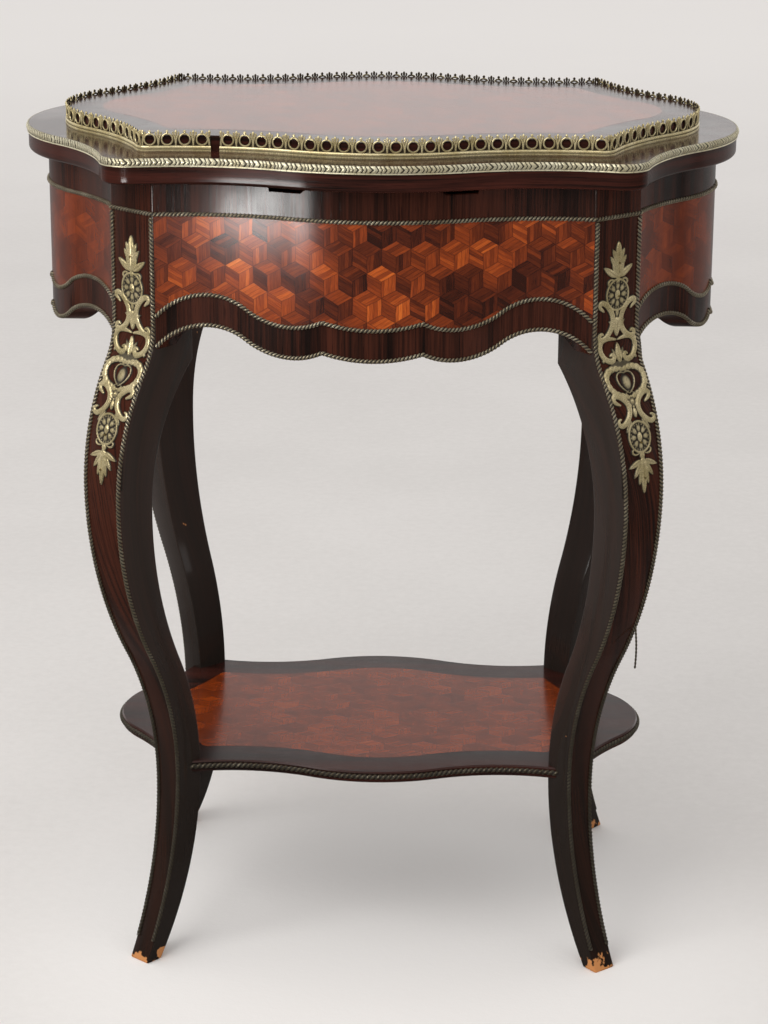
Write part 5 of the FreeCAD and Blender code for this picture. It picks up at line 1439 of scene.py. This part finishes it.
def build_floor(settings):
    """Round pale floor, paler far away, and painted paler under the table, a pool of painted light that
    lightens the table's shadow there. The polish shows it darker than it is.
    """
    turn = np.radians(np.arange(0, 360, 5))
    ring = np.column_stack([np.cos(turn), np.sin(turn), np.zeros(len(turn))]) * settings.floor_radius
    mesh = bpy.data.meshes.new("floor")
    mesh.from_pydata(ring.tolist(), [], [range(len(ring))])
    floor = link("floor", mesh)
    material, tree, shader = new_material("pale_floor")
    place = tree.spot()
    weave = tree.noise(place, 90.0, 4.0, 0.7)
    tone = tree.noise(place, 1.6, 4.0, 0.6) * 0.6 + weave * 0.4
    sheet = tree.mix(tree.span(tone, 0.35, 0.65), settings.floor_dark, settings.floor_pale)
    # painted light: under the table the floor is mixed towards a paler tone, which lightens the table's
    # shadow
    from_middle = tree.vector("LENGTH", tree.vector("SUBTRACT", place, (0.03, -0.1, 0.0)))
    pale = tree.most(tree.span(from_middle, 0.15, 0.5, 1.0, 0.0),
                     tree.span(tree.vector("LENGTH", place), 1.4, 6.0, 0.0, 0.9))
    tree.feed(shader, {
        "Base Color": tree.mix(pale, sheet, settings.floor_lit_middle), "Roughness": 0.9,
        "Specular IOR Level": 0.1, "Normal": tree.bump(weave, 0.001, 0.3)})
    dimming = tree.span(tree.split(place)[1], -0.2, 0.9, settings.floor_dimming, 0.7)
    surface = material.node_tree.get_output_node("ALL").inputs["Surface"]
    tree.feed({"Surface": surface}, {"Surface": tree.value("ShaderNodeMixShader", {
        0: tree.value("ShaderNodeLightPath", output="Is Glossy Ray") * dimming,
        1: Value(tree, surface.links[0].from_socket),
        2: tree.value("ShaderNodeBsdfDiffuse", {"Color": (0.02, 0.02, 0.02, 1.0)})})})
    mesh.materials.append(material)


def build_world(settings):
    """Even light from all round, and in the polish a pale wall behind and light from overhead."""
    world = bpy.data.worlds.new("studio")
    bpy.context.scene.world = world
    world.use_nodes = True
    world.node_tree.nodes.clear()
    tree = Tree(world.node_tree)
    x, y, z = tree.split(tree.value("ShaderNodeTexCoord", output="Generated"))
    rear = tree.span(y, -0.15, 0.6) * tree.span(z, 0.2, 0.42, 1.0, 0.3)
    glow = rear * settings.rear_glow + tree.span(z, 0.45, 0.9) * settings.top_glow + settings.front_glow
    even = tree.span(z, -0.1, 0.7, 1.5, 0.95) * tree.span(x, -0.2, 0.9, 1.08, 0.6)

    def background(colour, strength):
        return tree.value("ShaderNodeBackground", {"Color": colour, "Strength": strength})

    tint = linear(255, 252, 250)
    room, mirrored = background(tint, even * settings.room_light), background(tint, glow)
    rays = tree.outputs(tree.node("ShaderNodeLightPath"))
    lit = tree.value("ShaderNodeMixShader", {0: rays["Is Glossy Ray"], 1: room, 2: mirrored})
    tree.node("ShaderNodeOutputWorld", {"Surface": tree.value("ShaderNodeMixShader", {
        0: rays["Is Camera Ray"], 1: lit, 2: background(settings.backdrop, 1.0)})})


# name, its power among the settings, width and height, place, target, and whether it only shows in polish
LAMPS = (
    ("light_left", "left_light", 2.2, 1.8, (-1.5, -1.7, 2.3), (0, 0, 0.45), False),
    ("light_right", "right_light", 1.8, 1.6, (1.9, -1.6, 2.2), (0, 0, 0.4), False),
    ("sheen_left", "sheen_light", 0.085, 0.044, (-0.240, -0.40, 0.623), (-0.170, -0.19, 0.686), True),
)


def aim(made, place, right, up, back):
    """Move an object to a place and turn its axes."""
    turned = Matrix(np.column_stack([right, up, back]).tolist()).to_4x4()
    made.matrix_world = Matrix.Translation(np.array(place).tolist()) @ turned


def build_lamps(settings):
    """Two soft lights in front, and a small low one that only the polish shows."""
    for name, power, wide, tall, place, target, sheen in LAMPS:
        lamp = bpy.data.lights.new(name, "AREA")
        lamp.shape, lamp.size, lamp.size_y = "RECTANGLE", wide, tall
        lamp.energy, lamp.color = getattr(settings, power), (1.0, 0.98, 0.96)
        back = np.array(place, float) - np.array(target, float)
        back /= np.linalg.norm(back)
        aside = np.cross([0, 0, 1], back)
        aside /= np.linalg.norm(aside)
        made = link(name, lamp)
        aim(made, place, aside, np.cross(back, aside), back)
        made.visible_camera = False
        made.visible_diffuse = not sheen


def build_camera(settings):
    """The photograph's camera, turned and raised about its target and rolled a little."""
    azimuth, elevation = math.radians(settings.azimuth), math.radians(settings.elevation)
    roll = math.radians(settings.roll)
    back = np.array([math.sin(azimuth) * math.cos(elevation), -math.cos(azimuth) * math.cos(elevation),
                     math.sin(elevation)])
    right = np.cross(-back, [0, 0, 1])
    right /= np.linalg.norm(right)
    up = np.cross(right, -back)
    camera = bpy.data.cameras.new("camera")
    camera.sensor_fit, camera.sensor_height, camera.sensor_width = "VERTICAL", 36.0, 36.0
    camera.lens = settings.focal_pixels * 36.0 / PHOTO_HEIGHT
    camera.clip_start, camera.clip_end = 0.05, 60.0
    made = link("camera", camera)
    aim(made, np.array(settings.target) + back * settings.distance,
        right * math.cos(roll) + up * math.sin(roll), up * math.cos(roll) - right * math.sin(roll), back)
    bpy.context.scene.camera = made


def build_stage(settings):
    """Everything round the table."""
    build_floor(settings)
    build_world(settings)
    build_lamps(settings)
    build_camera(settings)
    bpy.context.scene.view_settings.view_transform = "Standard"


# ---- Add-on ----


class TableSettings(bpy.types.PropertyGroup):
    rope_radius: bpy.props.FloatProperty(
        name="Bead Radius", description="Radius of the twisted edging", default=0.002, unit="LENGTH")
    rope_lay: bpy.props.FloatProperty(
        name="Bead Lay", description="Length in which the edging's strands turn once", default=0.0066,
        unit="LENGTH")
    rope_step: bpy.props.FloatProperty(
        name="Bead Step", description="Length of one mesh step along the edging", default=0.0007,
        unit="LENGTH")
    gadroon_pitch: bpy.props.FloatProperty(
        name="Gadroon Pitch", description="Length of one gadroon of the lid's edging", default=0.0036,
        unit="LENGTH")
    gallery_pitch: bpy.props.FloatProperty(
        name="Gallery Pitch", description="Distance from one ring of the gallery to the next",
        default=0.014, unit="LENGTH")


class StageSettings(bpy.types.PropertyGroup):
    floor_radius: bpy.props.FloatProperty(
        name="Floor Radius", description="Radius of the floor", default=14.0, unit="LENGTH")
    floor_pale: bpy.props.FloatVectorProperty(
        name="Floor Pale", description="Paler tone of the floor", subtype="COLOR", size=4,
        default=(0.745, 0.73, 0.715, 1.0))
    floor_dark: bpy.props.FloatVectorProperty(
        name="Floor Dark", description="Darker tone of the floor", subtype="COLOR", size=4,
        default=(0.69, 0.675, 0.66, 1.0))
    # painted light: a paler tone under the table that lightens the table's shadow on the floor
    floor_lit_middle: bpy.props.FloatVectorProperty(
        name="Floor Middle", description="Tone of the floor under the table", subtype="COLOR", size=4,
        default=(0.93, 0.915, 0.90, 1.0))
    backdrop: bpy.props.FloatVectorProperty(
        name="Backdrop", description="Colour seen behind the floor", subtype="COLOR", size=4,
        default=(0.752, 0.730, 0.701, 1.0))
    front_glow: bpy.props.FloatProperty(
        name="Front Glow", description="Light from the room in front of the table", default=0.04)
    rear_glow: bpy.props.FloatProperty(
        name="Rear Glow", description="More light from the pale wall behind the table", default=0.72)
    top_glow: bpy.props.FloatProperty(
        name="Top Glow", description="More light from overhead", default=0.5)
    room_light: bpy.props.FloatProperty(
        name="Room Light", description="Even light from all round", default=0.88)
    sheen_light: bpy.props.FloatProperty(
        name="Sheen Light", description="Power of the low light that only shows in the polish",
        default=0.22)
    floor_dimming: bpy.props.FloatProperty(
        name="Floor Dimming", description="How much darker the polish shows the floor in front",
        default=0.94)
    left_light: bpy.props.FloatProperty(
        name="Left Light", description="Power of the soft light at front left", default=36.0)
    right_light: bpy.props.FloatProperty(
        name="Right Light", description="Power of the soft light at front right", default=4.0)
    azimuth: bpy.props.FloatProperty(
        name="Azimuth", description="Camera's turn round the table in degrees", default=2.02)
    elevation: bpy.props.FloatProperty(
        name="Elevation", description="Camera's angle above the floor in degrees", default=17.43)
    roll: bpy.props.FloatProperty(
        name="Roll", description="Camera's roll in degrees", default=0.28)
    distance: bpy.props.FloatProperty(
        name="Distance", description="Camera's distance from its target", default=2.5417, unit="LENGTH")
    target: bpy.props.FloatVectorProperty(
        name="Target", description="Point that the camera looks at", subtype="TRANSLATION",
        default=(0.00355, 0.0, 0.3682))
    focal_pixels: bpy.props.FloatProperty(
        name="Focal Length", description="Focal length in pixels of the photograph", default=2832.5)


class DRESSING_OT_legs(bpy.types.Operator):
    """Build the four legs"""
    bl_idname = "dressing.legs"
    bl_label = "Legs"

    def execute(self, context):
        for corner in CORNERS:
            build_leg(corner)
        return {"FINISHED"}


class DRESSING_OT_aprons(bpy.types.Operator):
    """Build the four case walls and their parquetry"""
    bl_idname = "dressing.aprons"
    bl_label = "Case Walls"

    def execute(self, context):
        for side in SIDES:
            build_apron(side)
            build_cube_panel(side)
        return {"FINISHED"}


class DRESSING_OT_beading(bpy.types.Operator):
    """Build the twisted edging of the legs, walls and waist"""
    bl_idname = "dressing.beading"
    bl_label = "Beading"

    def execute(self, context):
        settings = context.scene.dressing_table
        for corner in CORNERS:
            build_leg_beading(corner, settings)
        for side in SIDES:
            build_apron_beading(side, settings)
        build_waist_beading(settings)
        return {"FINISHED"}


class DRESSING_OT_mounts(bpy.types.Operator):
    """Build the four cast leg mounts"""
    bl_idname = "dressing.mounts"
    bl_label = "Leg Mounts"

    def execute(self, context):
        for corner in CORNERS:
            build_mount(corner)
        return {"FINISHED"}


class DRESSING_OT_lid(bpy.types.Operator):
    """Build the lid, its raised board, parquetry and gilt rim"""
    bl_idname = "dressing.lid"
    bl_label = "Lid"

    def execute(self, context):
        build_lid()
        build_rim(context.scene.dressing_table)
        return {"FINISHED"}


class DRESSING_OT_gallery(bpy.types.Operator):
    """Build the pierced gallery on the lid"""
    bl_idname = "dressing.gallery"
    bl_label = "Gallery"

    def execute(self, context):
        for side in SIDES:
            build_gallery(side, context.scene.dressing_table)
        return {"FINISHED"}


class DRESSING_OT_shelf(bpy.types.Operator):
    """Build the shelf, its parquetry and edging"""
    bl_idname = "dressing.shelf"
    bl_label = "Shelf"

    def execute(self, context):
        build_shelf(context.scene.dressing_table)
        return {"FINISHED"}


class DRESSING_OT_fittings(bpy.types.Operator):
    """Finish the well, mirror, hinges and pins that keep their CAD shapes"""
    bl_idname = "dressing.fittings"
    bl_label = "Fittings"

    def execute(self, context):
        finish_fittings()
        return {"FINISHED"}


class DRESSING_OT_stage(bpy.types.Operator):
    """Build the floor, lights and camera"""
    bl_idname = "dressing.stage"
    bl_label = "Stage"

    def execute(self, context):
        build_stage(context.scene.dressing_stage)
        return {"FINISHED"}


OPERATORS = (DRESSING_OT_legs, DRESSING_OT_aprons, DRESSING_OT_beading, DRESSING_OT_mounts,
             DRESSING_OT_lid, DRESSING_OT_gallery, DRESSING_OT_shelf, DRESSING_OT_fittings,
             DRESSING_OT_stage)


class DRESSING_PT_panel(bpy.types.Panel):
    bl_idname = "DRESSING_PT_panel"
    bl_label = "Dressing Table"
    bl_space_type = "VIEW_3D"
    bl_region_type = "UI"
    bl_category = "Dressing Table"

    def draw(self, context):
        for operator in OPERATORS:
            self.layout.operator(operator.bl_idname)
        for group in (context.scene.dressing_table, context.scene.dressing_stage):
            for name in group.__annotations__:
                self.layout.prop(group, name)


CLASSES = (TableSettings, StageSettings) + OPERATORS + (DRESSING_PT_panel,)


def register():
    for kind in CLASSES:
        bpy.utils.register_class(kind)
    bpy.types.Scene.dressing_table = bpy.props.PointerProperty(type=TableSettings)
    bpy.types.Scene.dressing_stage = bpy.props.PointerProperty(type=StageSettings)


def unregister():
    del bpy.types.Scene.dressing_stage
    del bpy.types.Scene.dressing_table
    for kind in reversed(CLASSES):
        bpy.utils.unregister_class(kind)


def main():
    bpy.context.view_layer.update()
    register()
    bpy.ops.dressing.legs()
    bpy.ops.dressing.aprons()
    bpy.ops.dressing.beading()
    bpy.ops.dressing.mounts()
    bpy.ops.dressing.lid()
    bpy.ops.dressing.gallery()
    bpy.ops.dressing.shelf()
    bpy.ops.dressing.fittings()
    bpy.ops.dressing.stage()


if __name__ == "__main__":
    main()
